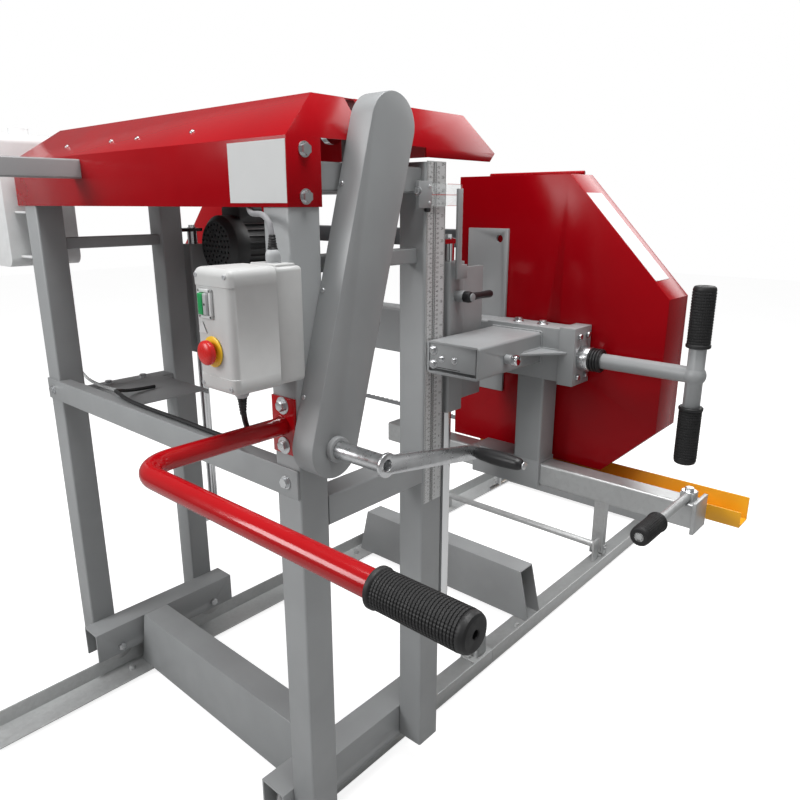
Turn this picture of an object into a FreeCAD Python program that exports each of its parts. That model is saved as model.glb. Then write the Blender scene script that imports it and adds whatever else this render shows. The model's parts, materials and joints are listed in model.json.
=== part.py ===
import FreeCAD, Part
import math
import os
import re

import Sketcher

from FreeCAD import Placement, Rotation, Vector

DOC = FreeCAD.newDocument("band_sawmill")
SHEET = DOC.addObject("Spreadsheet::Sheet", "Sizes")
SIZES = {}
NODES = {}
TURNS = {
    "Z": Rotation(),
    "X": Rotation(Vector(0, 1, 0), 90),
    "Y": Rotation(Vector(1, 0, 0), -90),
}
PLANES = {"XY": "XY_Plane", "XZ": "XZ_Plane", "YZ": "YZ_Plane"}


def fill_sheet(groups):
    """Write every driving dimension into the sheet under its alias."""
    row = 0
    for title, group in groups.items():
        row += 1
        SHEET.set(f"A{row}", title)
        for name, value in group.items():
            row += 1
            SHEET.set(f"A{row}", name)
            SHEET.set(f"B{row}", str(value))
            SHEET.setAlias(f"B{row}", name)
            SIZES[name] = value
    DOC.recompute()


def formula(text):
    """Put the sheet's name before each alias of an expression."""
    return re.sub(r"[a-z][a-z0-9_]+", lambda word: sheet_word(word.group(0)), str(text))


def sheet_word(word):
    """Name the sheet before one of its aliases, or spell out a size that follows others."""
    if word in FOLLOWING:
        return "(" + formula(FOLLOWING[word]) + ")"
    return "Sizes." + word if word in SIZES else word


def bind(item, prop, text):
    """Tie one property of an object to the sheet."""
    item.setExpression(prop, formula(text))


def place(item, at, turn=None):
    """Turn an object and tie its position to the sheet."""
    item.Placement = Placement(Vector(), turn or Rotation())
    for axis, text in zip("xyz", at):
        bind(item, "Placement.Base." + axis, text)
    return item


def wedge(low, size, foot, crown):
    """A prism whose width changes from its foot to its crown, given as start and width."""
    item = DOC.addObject("Part::Wedge", "Wedge")
    for prop, text in (
        ("Xmin", foot[0]),
        ("Xmax", f"{foot[0]} + {foot[1]}"),
        ("X2min", crown[0]),
        ("X2max", f"{crown[0]} + {crown[1]}"),
        ("Ymin", "0"),
        ("Ymax", size[0]),
        ("Zmin", "0"),
        ("Zmax", size[1]),
        ("Z2min", "0"),
        ("Z2max", size[1]),
    ):
        bind(item, prop, text)
    return place(item, low)


def box(low, size):
    """A block from its low corner and its three sizes."""
    item = DOC.addObject("Part::Box", "Block")
    for prop, text in zip(("Length", "Width", "Height"), size):
        bind(item, prop, text)
    return place(item, low)


def rod(axis, at, radius, length):
    """A round bar that starts at a point and runs along an axis."""
    item = DOC.addObject("Part::Cylinder", "Rod")
    bind(item, "Radius", radius)
    bind(item, "Height", length)
    return place(item, at, TURNS[axis])


def cone(axis, at, first, second, length):
    """A tapered round bar along an axis."""
    item = DOC.addObject("Part::Cone", "Cone")
    bind(item, "Radius1", first)
    bind(item, "Radius2", second)
    bind(item, "Height", length)
    return place(item, at, TURNS[axis])


def ball(at, radius):
    """A ball about a point."""
    item = DOC.addObject("Part::Sphere", "Ball")
    bind(item, "Radius", radius)
    return place(item, at)


def hexagon(axis, at, radius, length):
    """A hexagonal bar along an axis."""
    item = DOC.addObject("Part::Prism", "Hexagon")
    item.Polygon = 6
    bind(item, "Circumradius", radius)
    bind(item, "Height", length)
    return place(item, at, TURNS[axis])


def elbow(at, turn, radius, pipe, angle):
    """A bend of round bar, from the X axis of its own frame about its Z axis."""
    item = DOC.addObject("Part::Torus", "Elbow")
    bind(item, "Radius1", radius)
    bind(item, "Radius2", pipe)
    bind(item, "Angle3", angle)
    return place(item, at, turn)


def fuse(*items):
    """Join solids that belong to one piece."""
    item = DOC.addObject("Part::MultiFuse", "Joined")
    item.Shapes = list(items)
    item.Refine = True
    return item


def cut(base, *tools):
    """Take tools away from a solid."""
    item = DOC.addObject("Part::Cut", "Opened")
    item.Base = base
    item.Tool = tools[0] if len(tools) == 1 else fuse(*tools)
    item.Refine = True
    return item


def group(*items):
    """Keep alike solids apart in one node."""
    item = DOC.addObject("Part::Compound", "Set")
    item.Links = list(items)
    return item


def pipe(axis, at, radius, bore, length):
    """A round tube along an axis, its bore cut right through."""
    inside = list(at)
    index = "XYZ".index(axis)
    inside[index] = f"{at[index]} - overrun"
    return cut(rod(axis, at, radius, length), rod(axis, inside, bore, f"{length} + 2 * overrun"))


def square_tube(axis, low, size, wall):
    """A box section along an axis with rounded outer corners, open at both ends."""
    index = "XYZ".index(axis)
    inner_low = [f"{text} + {wall}" for text in low]
    inner_size = [f"{text} - 2 * {wall}" for text in size]
    inner_low[index] = f"{low[index]} - overrun"
    inner_size[index] = f"{size[index]} + 2 * overrun"
    return cut(soft_block(axis, low, size, f"{wall} * corner_share"), box(inner_low, inner_size))


def outline(body, plane, points):
    """Draw a closed outline whose corners are tied to the sheet."""
    sketch = body.newObject("Sketcher::SketchObject", "Outline")
    origin = next(part for part in body.Origin.OriginFeatures if part.Role == PLANES[plane])
    sketch.AttachmentSupport = (origin, [""])
    sketch.MapMode = "FlatFace"
    spots = [(number(across), number(up)) for across, up in points]
    total = len(spots)
    for index in range(total):
        start, end = spots[index], spots[(index + 1) % total]
        sketch.addGeometry(Part.LineSegment(Vector(*start, 0), Vector(*end, 0)))
    for index in range(total):
        sketch.addConstraint(sketcher_joint(index, (index + 1) % total))
    for index, (across, up) in enumerate(points):
        for kind, text, spot in (("DistanceX", across, 0), ("DistanceY", up, 1)):
            tie_corner(sketch, index, kind, text, spots[index][spot])
    return sketch


def sketcher_joint(first, second):
    """The constraint that joins the end of one side to the start of the next."""
    return Sketcher.Constraint("Coincident", first, 2, second, 1)


def tie_corner(sketch, index, kind, text, value):
    """Tie one coordinate of a corner to its formula."""
    constraint = sketch.addConstraint(Sketcher.Constraint(kind, -1, 1, index, 1, value))
    sketch.setExpression(f"Constraints[{constraint}]", formula(text))


def number(text):
    """The present value of a formula of the sheet's aliases."""
    probe = DOC.getObject("Probe") or DOC.addObject("App::FeaturePython", "Probe")
    if "Value" not in probe.PropertiesList:
        probe.addProperty("App::PropertyFloat", "Value")
    return float(probe.evalExpression(formula(text)))


def padded(plane, points, length, at=(0, 0, 0), flip=False):
    """A solid of constant section: an outline drawn on a plane and padded."""
    body = DOC.addObject("PartDesign::Body", "Body")
    sketch = outline(body, plane, points)
    pad = body.newObject("PartDesign::Pad", "Pad")
    pad.Profile = sketch
    pad.Reversed = flip
    bind(pad, "Length", length)
    return place(body, at)


def turned(axis, at, points):
    """A solid of revolution about an axis: its outline gives radius and height."""
    body = DOC.addObject("PartDesign::Body", "Body")
    sketch = outline(body, "XZ", points)
    spun = body.newObject("PartDesign::Revolution", "Spun")
    spun.Profile = sketch
    spun.ReferenceAxis = (sketch, ["V_Axis"])
    return place(body, at, TURNS[axis])


def node(name, item):
    """Name a finished sub-part."""
    item.Label = name
    NODES[name] = item
    return item


# The frame of the part: X runs across the track, Y along the rails in the cutting direction, Z up.
# The origin lies on the ground midway between the four posts of the carriage.
TRACK = {
    "overrun": 4,
    "corner_share": 1.4,
    "rail_foot_width": 90,
    "rail_height": 50,
    "rail_thick": 5,
    "rail_base": 14,
    "rail_start": -560,
    "joint_lead": 300,
    "rail_end": 2020,
    "rail_split": 1,
    "splice_length": 96,
    "splice_width": 62,
    "splice_thick": 6,
    "splice_bolt_inset": 12,
    "splice_bolt_radius": 8.5,
    "socket_side": 50,
    "socket_wall": 4,
    "socket_height": 62,
        "pad_radius": 27,
    "pad_thick": 6,
    "pad_screw_radius": 8,
    "pad_offset": 45,
    "bunk_depth": 78,
    "bunk_height": 180,
    "bunk_foot_gap": 27,
    "bunk_slant": 42,
    "bunk_wall": 4,
    "bunk_lead": 500,
    "bunk_tail": 60,
    "bunk_middle_share": 0.4901,
    "tie_radius": 13.5,
    "tie_bore": 10.5,
    "tie_lead": 505,
    "tie_height": 84,
    "tie_half": 372,
    "tie_ear_thick": 8,
    "tie_ear_side": 44,
    "stop_width": 52,
    "stop_depth": 30,
    "stop_wall": 4,
    "stop_top": 330,
    "stop_lead": 445,
    "stop_inset": 75,
    "stop_pivot_height": 50,
    "stop_tail": 20,
    "stop_pin_radius": 6,
    "stop_pin_fit": 0.05,
    "stop_ear_thick": 4,
    "stop_ear_side": 28,
    "stop_pin_over": 4,
    "stop_gap": 0.4,
}
CARRIAGE = {
    "post_side": 70,
    "post_wall": 4,
    "post_across": 507.5,
    "rail_inset": 72.5,
    "post_along": 176,
    "post_foot": 95,
    "post_top": 1500,
    "channel_width": 75,
    "channel_wall": 5,
    "channel_top": 178,
    "channel_bottom": 86,
    "channel_half": 238,
    "wheel_along": 165,
    "wheel_gap": 0.3,
    "tread_radius": 43.7,
    "wheel_radius": 52,
    "wheel_width": 34,
    "groove_width": 9,
    "groove_slope": 5,
    "axle_radius": 8,
    "axle_fit": 0.05,
    "axle_head_thick": 7,
    "axle_head_radius": 12,
    "spacer_radius": 13,
    "front_bar_top": 947,
    "front_bar_height": 58,
    "front_bar_thick": 5,
    "front_bar_half": 540,
    "front_bar_lip": 30,
    "side_beam_depth": 60,
    "side_beam_height": 62,
    "side_beam_right_top": 875,
    "side_beam_left_top": 903,
    "side_beam_wall": 3,
    "upper_bar_side": 31,
    "upper_bar_wall": 2.5,
    "upper_bar_top": 1331,
    "top_tube_side": 50,
    "top_tube_wall": 3,
    "top_tube_top": 1490,
    "tray_thick": 3,
    "tray_reach": 250,
    "tray_depth": 210,
    "tray_lip": 14,
    "column_radius": 15,
    "column_along": 265,
    "column_foot": 372,
    "column_top": 1336,
    "column_ear_thick": 10,
    "column_ear_width": 46,
    "column_ear_over": 23,
    "bolt_radius": 5,
    "bolt_head_radius": 10,
    "bolt_head_thick": 7,
    "washer_thick": 2,
    "washer_radius": 13,
    "arm_side": 42,
    "arm_wall": 3,
    "arm_across": -205,
    "arm_length": 260,
    "arm_top": 1517,
    "ruler_width": 24,
    "ruler_thick": 1,
    "ruler_bottom": 760,
    "ruler_top": 1502,
    "ruler_inset": 6,
}
HOOD = {
    "hood_left": -575,
    "hood_back": 380,
    "hood_bottom": 1414,
    "hood_fold": 1526,
    "hood_rise": 80,
    "hood_side_bevel": 60,
    "hood_front_bevel": 110,
    "hood_back_bevel": 40,
    "hood_sheet": 2.5,
    "hood_wrap": 75,
    "hood_flank_start": 141,
    "hood_lip": 18,
    "sheet_gap": 0.3,
    "case_notch": 68,
    "lift_slot": 13,
    "hood_bolt_inset": 20,
    "hood_bolt_pitch": 75,
    "beam_bolt_reach": 55,
}
LIFT = {
    "case_radius": 56,
    "case_thick": 54,
    "case_sheet": 2.5,
    "case_back_thick": 3,
    "case_gap": 1,
    "crank_along": -171,
    "crank_up": 994,
    "lift_along": -11,
    "lift_up": 1552,
    "sprocket_tip_radius": 27,
    "sprocket_tooth_radius": 4,
    "sprocket_thick": 6,
    "sprocket_inset": 24,
    "chain_gap": 0.5,
    "chain_thick": 8,
    "chain_width": 9,
    "crank_radius": 16,
    "crank_bore": 10.5,
    "crank_reach": 128,
    "crank_hole_gap": 2.5,
    "crank_bush_length": 12,
    "crank_bush_radius": 24,
    "crank_fit": 0.05,
    "lever_thick": 6,
    "lever_eye_radius": 22,
    "lever_end_radius": 15,
    "lever_reach": 258,
    "lever_fall": 47,
    "grip_pin_radius": 5,
    "grip_pin_head": 3,
    "grip_radius": 13,
    "grip_length": 108,
    "grip_gap": 0.3,
    "lift_shaft_radius": 10,
    "lift_shaft_left": -530,
    "drum_radius": 24,
    "drum_width": 14,
    "drum_inset": 30,
    "bearing_thick": 14,
    "bearing_side": 46,
    "bearing_over": 18,
    "bearing_inset": 14,
    "lever_root_half": 17,
    "grip_flare": 1.6,
    "groove_depth": 1.2,
    "crank_bore_depth": 60,
}
CONTROLS = {
    "box_left": 475,
    "box_width": 100,
    "box_depth": 150,
    "box_bottom": 1124,
    "box_height": 200,
    "box_corner": 12,
    "lid_share": 0.62,
    "box_seam": 0.3,
    "box_step": 3,
    "button_pocket": 10,
    "gland_cap_share": 0.8,
    "under_gland_across": 505,
    "under_gland_along": -300,
    "under_gland_height": 24,
    "start_frame_over": 6,
    "stop_button_round": 4,
    "stop_button_radius": 20,
    "stop_button_neck": 11,
    "stop_button_thick": 12,
    "stop_button_stroke": 4,
    "stop_collar_radius": 25,
    "stop_collar_thick": 5,
    "stop_button_up": 1192,
    "stop_button_across": 522,
    "start_button_up": 1268,
    "start_button_across": 512,
    "start_button_width": 22,
    "start_button_height": 34,
    "start_button_proud": 5,
    "start_frame_width": 34,
    "start_frame_thick": 4,
    "button_gap": 0.3,
    "gland_radius": 16,
    "gland_height": 26,
    "gland_across": 537,
    "gland_along": -244,
    "handle_radius": 16.85,
    "handle_bore": 13.5,
    "handle_across": 509,
    "handle_rise": 83,
    "handle_out": -505,
    "handle_end": 1143,
    "handle_bend": 60,
    "handle_plate_thick": 6,
    "handle_plate_width": 62,
    "handle_plate_height": 108,
    "handle_bolt_reach": 38,
    "hand_grip_radius": 22.5,
    "hand_grip_length": 128,
    "hand_grip_flare": 24,
    "hand_grip_collar": 6,
    "hand_grip_cap": 5,
    "hand_grip_vent": 7,
    "tank_left": -780,
    "tank_width": 165,
    "tank_front": -235,
    "tank_depth": 190,
    "tank_bottom": 1250,
    "tank_height": 350,
    "tank_corner": 26,
    "tank_cap_radius": 26,
    "tank_cap_height": 20,
    "tank_tap_radius": 7,
    "tank_tap_length": 30,
    "tank_tap_across": -690,
    "tank_tap_along": -140,
    "tank_bar_thick": 6,
    "tank_bar_drop": 20,
}
HEAD = {
    "sleeve_side": 58,
    "sleeve_wall": 5,
    "sleeve_bottom": 955,
    "sleeve_top": 1297,
    "bush_length": 40,
    "bush_fit": 0.05,
    "beam_front": 395,
    "beam_depth": 67,
    "beam_bottom": 1032,
    "beam_top": 1152,
    "beam_overhang": 24.5,
    "beam_wall": 5,
    "web_bottom": 970,
    "web_top": 1280,
    "web_thick": 14,
    "plate_inset": 87.5,
    "plate_overhang": 28.5,
    "plate_thick": 8,
    "plate_bottom": 962,
    "plate_top": 1362,
    "block_reach": 195,
    "block_wall": 10,
    "end_plate_thick": 38,
    "end_plate_over": 5,
    "spindle_up": 1087,
    "cover_front": 470,
    "cover_depth": 102,
    "cover_sheet": 2.5,
    "cover_inner_reach": 282,
    "drive_inner_reach": 382,
    "cover_top": 1483,
    "cover_corner_reach": 19,
    "cover_outer_reach": 265,
    "cover_shoulder": 1227,
    "cover_hip": 935,
    "cover_bottom": 818,
    "cover_foot_reach": 145,
    "door_gap": 0.4,
    "door_thick": 2.5,
    "door_lip": 16,
    "door_hinge_radius": 5,
    "door_hinge_inset": 20,
    "door_lap": 2,
    "bevel_share": 0.414,
    "wheel_reach": 135,
    "band_radius": 245,
    "band_width": 30,
    "band_rim": 22,
    "band_web": 8,
    "band_place": 520,
    "hub_radius": 38,
    "hub_length": 52,
    "hub_axle_radius": 15,
    "hub_fit": 0.05,
    "spoke_hole_radius": 46,
    "spoke_hole_ring": 135,
    "blade_gap": 0.35,
    "blade_thick": 1.1,
    "blade_width": 34,
    "tooth_depth": 5.5,
    "tooth_over": 1,
    "tooth_front_share": 0.1,
    "tooth_floor_share": 0.32,
    "tooth_land_share": 0.02,
}
GUIDE = {
    "guide_post_reach": 89,
    "guide_post_width": 70,
    "guide_post_wall": 4,
    "guide_side": 54,
    "guide_wall": 4,
    "guide_gap": 0.3,
    "guide_sleeve_side": 70,
    "guide_sleeve_left": 500,
    "guide_sleeve_width": 191,
    "guide_up": 795,
    "guide_along": 430,
    "guide_left": 200,
    "guide_right": 1050,
    "guide_cap_thick": 8,
    "guide_bracket_width": 40,
    "guide_bracket_depth": 30,
    "guide_bracket_rise": 92,
    "guide_roller_radius": 20,
    "guide_roller_width": 30,
    "guide_roller_flange": 26,
    "guide_roller_axle": 7,
    "guide_stem_radius": 9,
    "guide_stem_across": 1030,
    "guide_stem_end": 262,
    "guide_grip_radius": 19,
    "guide_grip_length": 86,
    "guide_lug_side": 28,
    "guide_bracket_foot": 5,
    "roller_flange_thick": 4,
    "guard_left": 420,
    "guard_right": 1120,
    "guard_front": 490,
    "guard_width": 55,
    "guard_floor": 762,
    "guard_front_rise": 35,
    "guard_back_rise": 52,
    "guard_sheet": 2.5,
    "guard_tab_width": 50,
    "guard_tab_across": 985,
    "clamp_across": 560,
    "clamp_radius": 6,
    "clamp_length": 44,
    "clamp_bar_radius": 5,
    "clamp_bar_length": 84,
    "clamp_fit": 0.05,
}
TENSION = {
    "slide_reach": 71,
    "slide_width": 118,
    "slide_gap": 0.3,
    "slide_travel": 12,
    "block_bolt_inset": 14,
    "block_bolt_radius": 7,
    "tee_grip_cap": 4,
    "tee_grip_round": 2,
    "slot_gap": 2,
    "wheel_washer_radius": 24,
    "wheel_washer_thick": 5,
    "spindle_along": 429,
    "spindle_radius": 16.85,
    "spindle_bore": 13,
    "spindle_fit": 0.05,
    "spindle_reach": 346,
    "cup_radius": 27,
    "cup_length": 24,
    "bellows_radius": 21,
    "bellows_ring": 25,
    "bellows_pitch": 9,
    "tee_bottom": 904,
    "tee_top": 1262,
    "tee_grip_length": 122,
    "tee_grip_radius": 21.5,
    "tee_grip_collar": 24,
    "tee_grip_collar_thick": 6,
    "tee_boss": 22,
}
PLANT = {
    "motor_reach": 307,
    "motor_up": 1296,
    "motor_front": 250,
    "motor_radius": 80,
    "motor_cowl_radius": 90,
    "motor_cowl_length": 62,
    "motor_cowl_round": 16,
    "motor_bell_radius": 88,
    "fin_sunk": 2,
    "fin_thick": 3,
    "grille_hole": 4.2,
    "grille_pitch": 16,
    "grille_deep": 6,
    "motor_bell_length": 22,
    "motor_foot_half": 70,
    "motor_foot_depth": 62,
    "motor_box_half": 45,
    "motor_box_rise": 34,
    "motor_box_depth": 84,
    "motor_box_start": 60,
    "motor_box_corner": 8,
    "foot_share": 0.75,
    "pulley_over": 1.5,
    "motor_shaft_radius": 14,
    "pulley_radius": 58,
    "pulley_flange": 64,
    "pulley_width": 18,
    "pulley_place": 476,
    "belt_thick": 7,
    "belt_width": 12,
    "belt_gap": 0.4,
    "shaft_fit": 0.05,
    "top_cover_front": 492,
    "top_cover_depth": 58,
    "top_cover_low": 1310,
    "top_cover_rise": 44,
    "top_cover_sheet": 2.5,
    "top_cover_gap": 0.3,
    "slot_height": 26,
    "index_gap": 3.5,
    "index_width": 134,
    "index_front": 150,
    "index_bottom": 1070,
    "index_height": 70,
    "index_wall": 5,
    "index_bolt_radius": 6,
    "index_bolt_inset": 18,
    "index_roller_radius": 17,
    "index_roller_gap": 4,
    "plunger_along": 250,
    "plunger_up": 1102,
    "plunger_radius": 5,
    "plunger_fit": 0.05,
    "plunger_sleeve": 10,
    "plunger_sleeve_length": 16,
    "plunger_knob": 12,
    "plunger_knob_length": 16,
    "plunger_tip": 24,
    "plunger_gap": 0.3,
    "lock_up": 1222,
    "lock_boss_radius": 13,
    "lock_boss_length": 22,
    "lock_hub_radius": 13,
    "lock_hub_length": 18,
    "lock_pin_radius": 6,
    "lock_fit": 0.05,
    "lock_gap": 0.3,
    "lock_arm_radius": 6,
    "lock_cap_over": 3,
    "lock_cap_thick": 3,
    "lock_arm_length": 78,
    "lock_knob_radius": 9,
    "pointer_up": 1424,
    "pointer_height": 26,
    "pointer_front": 120,
    "pointer_back": 252,
    "pointer_thick": 3,
    "pointer_gap": 3.2,
    "pointer_seat": 0.3,
    "stem_width": 16,
    "stem_thick": 6,
    "stem_foot": 1262,
    "stem_foot_height": 30,
    "stem_over": 14,
    "plate_hole_radius": 9,
    "plate_hole_inset": 24,
}
CORDS = {
    "bend_share": 0.45,
    "motor_cable_radius": 5,
    "supply_cable_radius": 5,
    "hose_radius": 4.5,
}
MOTOR_CABLE = (
    (537, -244, 1347), (537, -244, 1386), (508, -238, 1404),
    (462, -224, 1402), (420, -200, 1408), (392, -184, 1436),
)
SUPPLY_CABLE = (
    (505, -300, 1100), (505, -300, 1068), (482, -276, 1030), (442, -246, 994), (392, -218, 970),
    (330, -200, 955), (230, -197, 953), (112, -194, 953), (-10, -196, 953), (-126, -193, 953),
    (-226, -170, 952), (-316, -132, 931), (-352, -66, 911), (-356, 6, 909),
)
LUBE_HOSE = (
    (-690, -140, 1220), (-690, -140, 1176), (-676, -134, 1112), (-650, -126, 1052), (-618, -120, 996),
    (-580, -110, 950), (-536, -104, 920), (-488, -97, 912), (-444, -90, 908), (-402, -86, 908),
)
TEETH = 35
FINS = 26
GRILLE_RINGS = ((1, 6), (2, 12), (3, 18), (4, 24))
FOLLOWING = {
    "rail_plane": "post_across - rail_inset",
    "beam_half": "post_across + beam_overhang",
    "plate_inner": "post_across - plate_inset",
    "plate_outer": "post_across + plate_overhang",
    "bunk_foot_half": "rail_plane - bunk_foot_gap",
    "bunk_top_half": "bunk_foot_half - bunk_slant",
    "bunk_one_place": "rail_start + bunk_lead",
    "bunk_three_place": "rail_end - bunk_tail",
    "bunk_two_place": "bunk_one_place + bunk_middle_share * (bunk_three_place - bunk_one_place)",
    "tie_place": "bunk_three_place - tie_lead",
    "stop_across": "rail_plane - stop_inset",
    "motor_across": "motor_reach - wheel_across",
    "stop_place": "bunk_three_place - stop_lead",
    "rail_joint": "bunk_two_place - joint_lead",
    "index_left": "post_across + post_side / 2 + index_gap",
    "handle_up": "front_bar_top + handle_rise",
    "wheel_across": "beam_half + wheel_reach",
    "cover_inner": "wheel_across - cover_inner_reach",
    "drive_cover_inner": "wheel_across - drive_inner_reach",
    "cover_top_corner": "wheel_across + cover_corner_reach",
    "cover_outer": "wheel_across + cover_outer_reach",
    "cover_bottom_corner": "wheel_across + cover_foot_reach",
    "slide_left": "wheel_across - slide_reach",
    "spindle_end": "wheel_across + spindle_reach",
    "guide_post_left": "beam_half + guide_post_reach",
}
GROUPS = {
    "Track": TRACK,
    "Carriage": CARRIAGE,
    "Hood": HOOD,
    "Lift": LIFT,
    "Controls": CONTROLS,
    "Head": HEAD,
    "Guide": GUIDE,
    "Tension": TENSION,
    "Plant": PLANT,
    "Cords": CORDS,
}
SIDES = {"left": -1, "right": 1}
RING_SHARES = ((1, 0), (0.309, 0.951), (-0.809, 0.588), (-0.809, -0.588), (0.309, -0.951))

POST_OUT = "(post_across + post_side / 2)"
POST_IN = "(post_across - post_side / 2)"
FRONT = "(post_along + post_side / 2)"
BAY = "(post_along - post_side / 2)"
RAIL_TOP = "(rail_base + rail_height)"
FLANGE_TOP = "(rail_base + rail_thick)"
BUNK_TOP = "(rail_base + rail_thick + bunk_height)"
AXLE_UP = "(rail_base + rail_height + wheel_gap + tread_radius)"
HOOD_FRONT = "(post_along + post_side / 2 + sheet_gap + hood_sheet)"
HOOD_RIGHT = "(post_across + post_side / 2 + sheet_gap + hood_sheet)"
BACK = "(column_along + column_ear_over)"
CHANNEL_IN = "(post_across - post_side / 2 - channel_width)"
BAND_FRONT = "(band_place - band_width / 2)"
HUB_END = "(band_place + hub_length / 2)"
BLADE_LOW = "(spindle_up - band_radius - blade_gap - blade_thick)"
COVER_BACK = "(cover_front + cover_depth)"


def span(side, near, width):
    """The low end of a stretch that starts at a distance on either side of the middle."""
    return near if side > 0 else f"-({near}) - ({width})"


def bolt(axis, at, turn=1):
    """A hexagon head with its washer, seated on a face and facing along an axis."""
    index = "XYZ".index(axis)
    low, high = list(at), list(at)
    if turn > 0:
        high[index] = f"{at[index]} + washer_thick"
    else:
        low[index] = f"{at[index]} - washer_thick"
        high[index] = f"{at[index]} - washer_thick - bolt_head_thick"
    washer = rod(axis, low, "washer_radius", "washer_thick")
    return fuse(washer, hexagon(axis, high, "bolt_head_radius", "bolt_head_thick"))


def soft_block(axis, low, size, corner):
    """A block whose four edges along one axis are rounded."""
    index = "XYZ".index(axis)
    first, second = [number for number in range(3) if number != index]
    parts = []
    for inset, other in ((first, second), (second, first)):
        start, reach = list(low), list(size)
        start[inset] = f"{low[inset]} + {corner}"
        reach[inset] = f"{size[inset]} - 2 * {corner}"
        parts.append(box(start, reach))
    for end_a in (0, 1):
        for end_b in (0, 1):
            spot = list(low)
            spot[first] = corner_place(low[first], size[first], corner, end_a)
            spot[second] = corner_place(low[second], size[second], corner, end_b)
            parts.append(rod(axis, spot, corner, size[index]))
    return fuse(*parts)


def corner_place(low, size, corner, end):
    """The middle of a rounded corner at the low or high end of a side."""
    return f"{low} + {size} - {corner}" if end else f"{low} + {corner}"


def oval(plane, start, end, radius, low, length):
    """A solid whose section is two equal circles joined by their tangents."""
    run = f"({end[0]} - ({start[0]}))"
    rise = f"({end[1]} - ({start[1]}))"
    reach = f"sqrt({run}^2 + {rise}^2)"
    side_a = f"({radius}) * {rise} / {reach}"
    side_b = f"({radius}) * {run} / {reach}"
    points = [
        (f"{start[0]} - {side_a}", f"{start[1]} + {side_b}"),
        (f"{end[0]} - {side_a}", f"{end[1]} + {side_b}"),
        (f"{end[0]} + {side_a}", f"{end[1]} - {side_b}"),
        (f"{start[0]} + {side_a}", f"{start[1]} - {side_b}"),
    ]
    if plane == "YZ":
        bar = padded("YZ", points, length, (low, 0, 0))
        ends = [rod("X", (low, spot[0], spot[1]), radius, length) for spot in (start, end)]
    else:
        bar = padded("XZ", points, length, (0, f"{low} + {length}", 0))
        ends = [rod("Y", (spot[0], low, spot[1]), radius, length) for spot in (start, end)]
    return fuse(bar, *ends)


def cord(points, radius):
    """A tube along straight runs joined by tangent arcs as large as the runs allow."""
    spots = [Vector(*point) for point in points]
    edges = []
    start = spots[0]
    for before, here, after in zip(spots, spots[1:], spots[2:]):
        back, ahead = before - here, after - here
        half = (math.pi - back.getAngle(ahead)) / 2
        reach = min(back.Length, ahead.Length) * SIZES["bend_share"]
        bend_in = here + Vector(back).normalize() * reach
        bend_out = here + Vector(ahead).normalize() * reach
        middle = (Vector(back).normalize() + Vector(ahead).normalize()).normalize()
        bend = reach / math.tan(half)
        centre = here + middle * (bend / math.cos(half))
        edges.append(Part.LineSegment(start, bend_in).toShape())
        edges.append(Part.Arc(bend_in, centre - middle * bend, bend_out).toShape())
        print(f"bend radius {bend:.1f} for a cord of radius {radius}")
        start = bend_out
    edges.append(Part.LineSegment(start, spots[-1]).toShape())
    path = Part.Wire(edges)
    circle = Part.Circle(spots[0], spots[1] - spots[0], radius).toShape()
    shell = path.makePipeShell([Part.Wire([circle])], True, False)
    item = DOC.addObject("Part::Feature", "Cord")
    item.Shape = shell
    share = item.Shape.Volume / (math.pi * radius ** 2 * path.Length)
    print(f"cord volume share {share:.4f}, length {path.Length:.0f}")
    return item


def build_rails():
    """Two angle rails in two lengths each, upright leg outward."""
    lengths = []
    for side in SIDES.values():
        legs = (
            (f"{side} * rail_plane", "rail_base"),
            (f"{side} * rail_plane", RAIL_TOP),
            (f"{side} * (rail_plane - rail_thick)", RAIL_TOP),
            (f"{side} * (rail_plane - rail_thick)", FLANGE_TOP),
            (f"{side} * (rail_plane - rail_foot_width)", FLANGE_TOP),
            (f"{side} * (rail_plane - rail_foot_width)", "rail_base"),
        )
        joint = "rail_joint - rail_split / 2"
        near = padded("XZ", legs, f"{joint} - rail_start", (0, joint, 0))
        far = padded("XZ", legs, f"rail_end - rail_joint - rail_split / 2", (0, "rail_end", 0))
        lengths += [near, far]
    node("rails", group(*lengths))


def build_bunks():
    """Three box-section cross beams with slanted open ends, lying on the rail flanges."""
    bunks = []
    for place_name in ("bunk_one_place", "bunk_two_place", "bunk_three_place"):
        ends = (
            ("-bunk_foot_half", FLANGE_TOP),
            ("bunk_foot_half", FLANGE_TOP),
            ("bunk_top_half", BUNK_TOP),
            ("-bunk_top_half", BUNK_TOP),
        )
        low = f"{place_name} - bunk_depth / 2"
        beam = padded("XZ", ends, "bunk_depth", (0, f"{low} + bunk_depth", 0))
        hollow = box(
            ("-bunk_foot_half - overrun", f"{low} + bunk_wall", f"{FLANGE_TOP} + bunk_wall"),
            (
                "2 * (bunk_foot_half + overrun)",
                "bunk_depth - 2 * bunk_wall",
                "bunk_height - 2 * bunk_wall",
            ),
        )
        bunks.append(cut(beam, hollow))
    node("bunks", group(*bunks))


def track_feet():
    """Screw feet under the rail flanges, with their nuts on top."""
    feet = []
    for side in SIDES.values():
        across = f"{side} * (rail_plane - rail_foot_width / 2)"
        for place_name in ("bunk_one_place", "bunk_two_place", "bunk_three_place"):
            along = f"{place_name} - bunk_depth / 2 - pad_offset"
            pad = rod("Z", (across, along, 0), "pad_radius", "pad_thick")
            screw = rod("Z", (across, along, 0), "pad_screw_radius", "rail_base")
            nut = hexagon("Z", (across, along, FLANGE_TOP), "bolt_head_radius", "bolt_head_thick")
            stud = rod(
                "Z", (across, along, FLANGE_TOP), "pad_screw_radius", "bolt_head_thick + pad_thick"
            )
            feet += [fuse(pad, screw), fuse(nut, stud)]
    return feet


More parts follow.
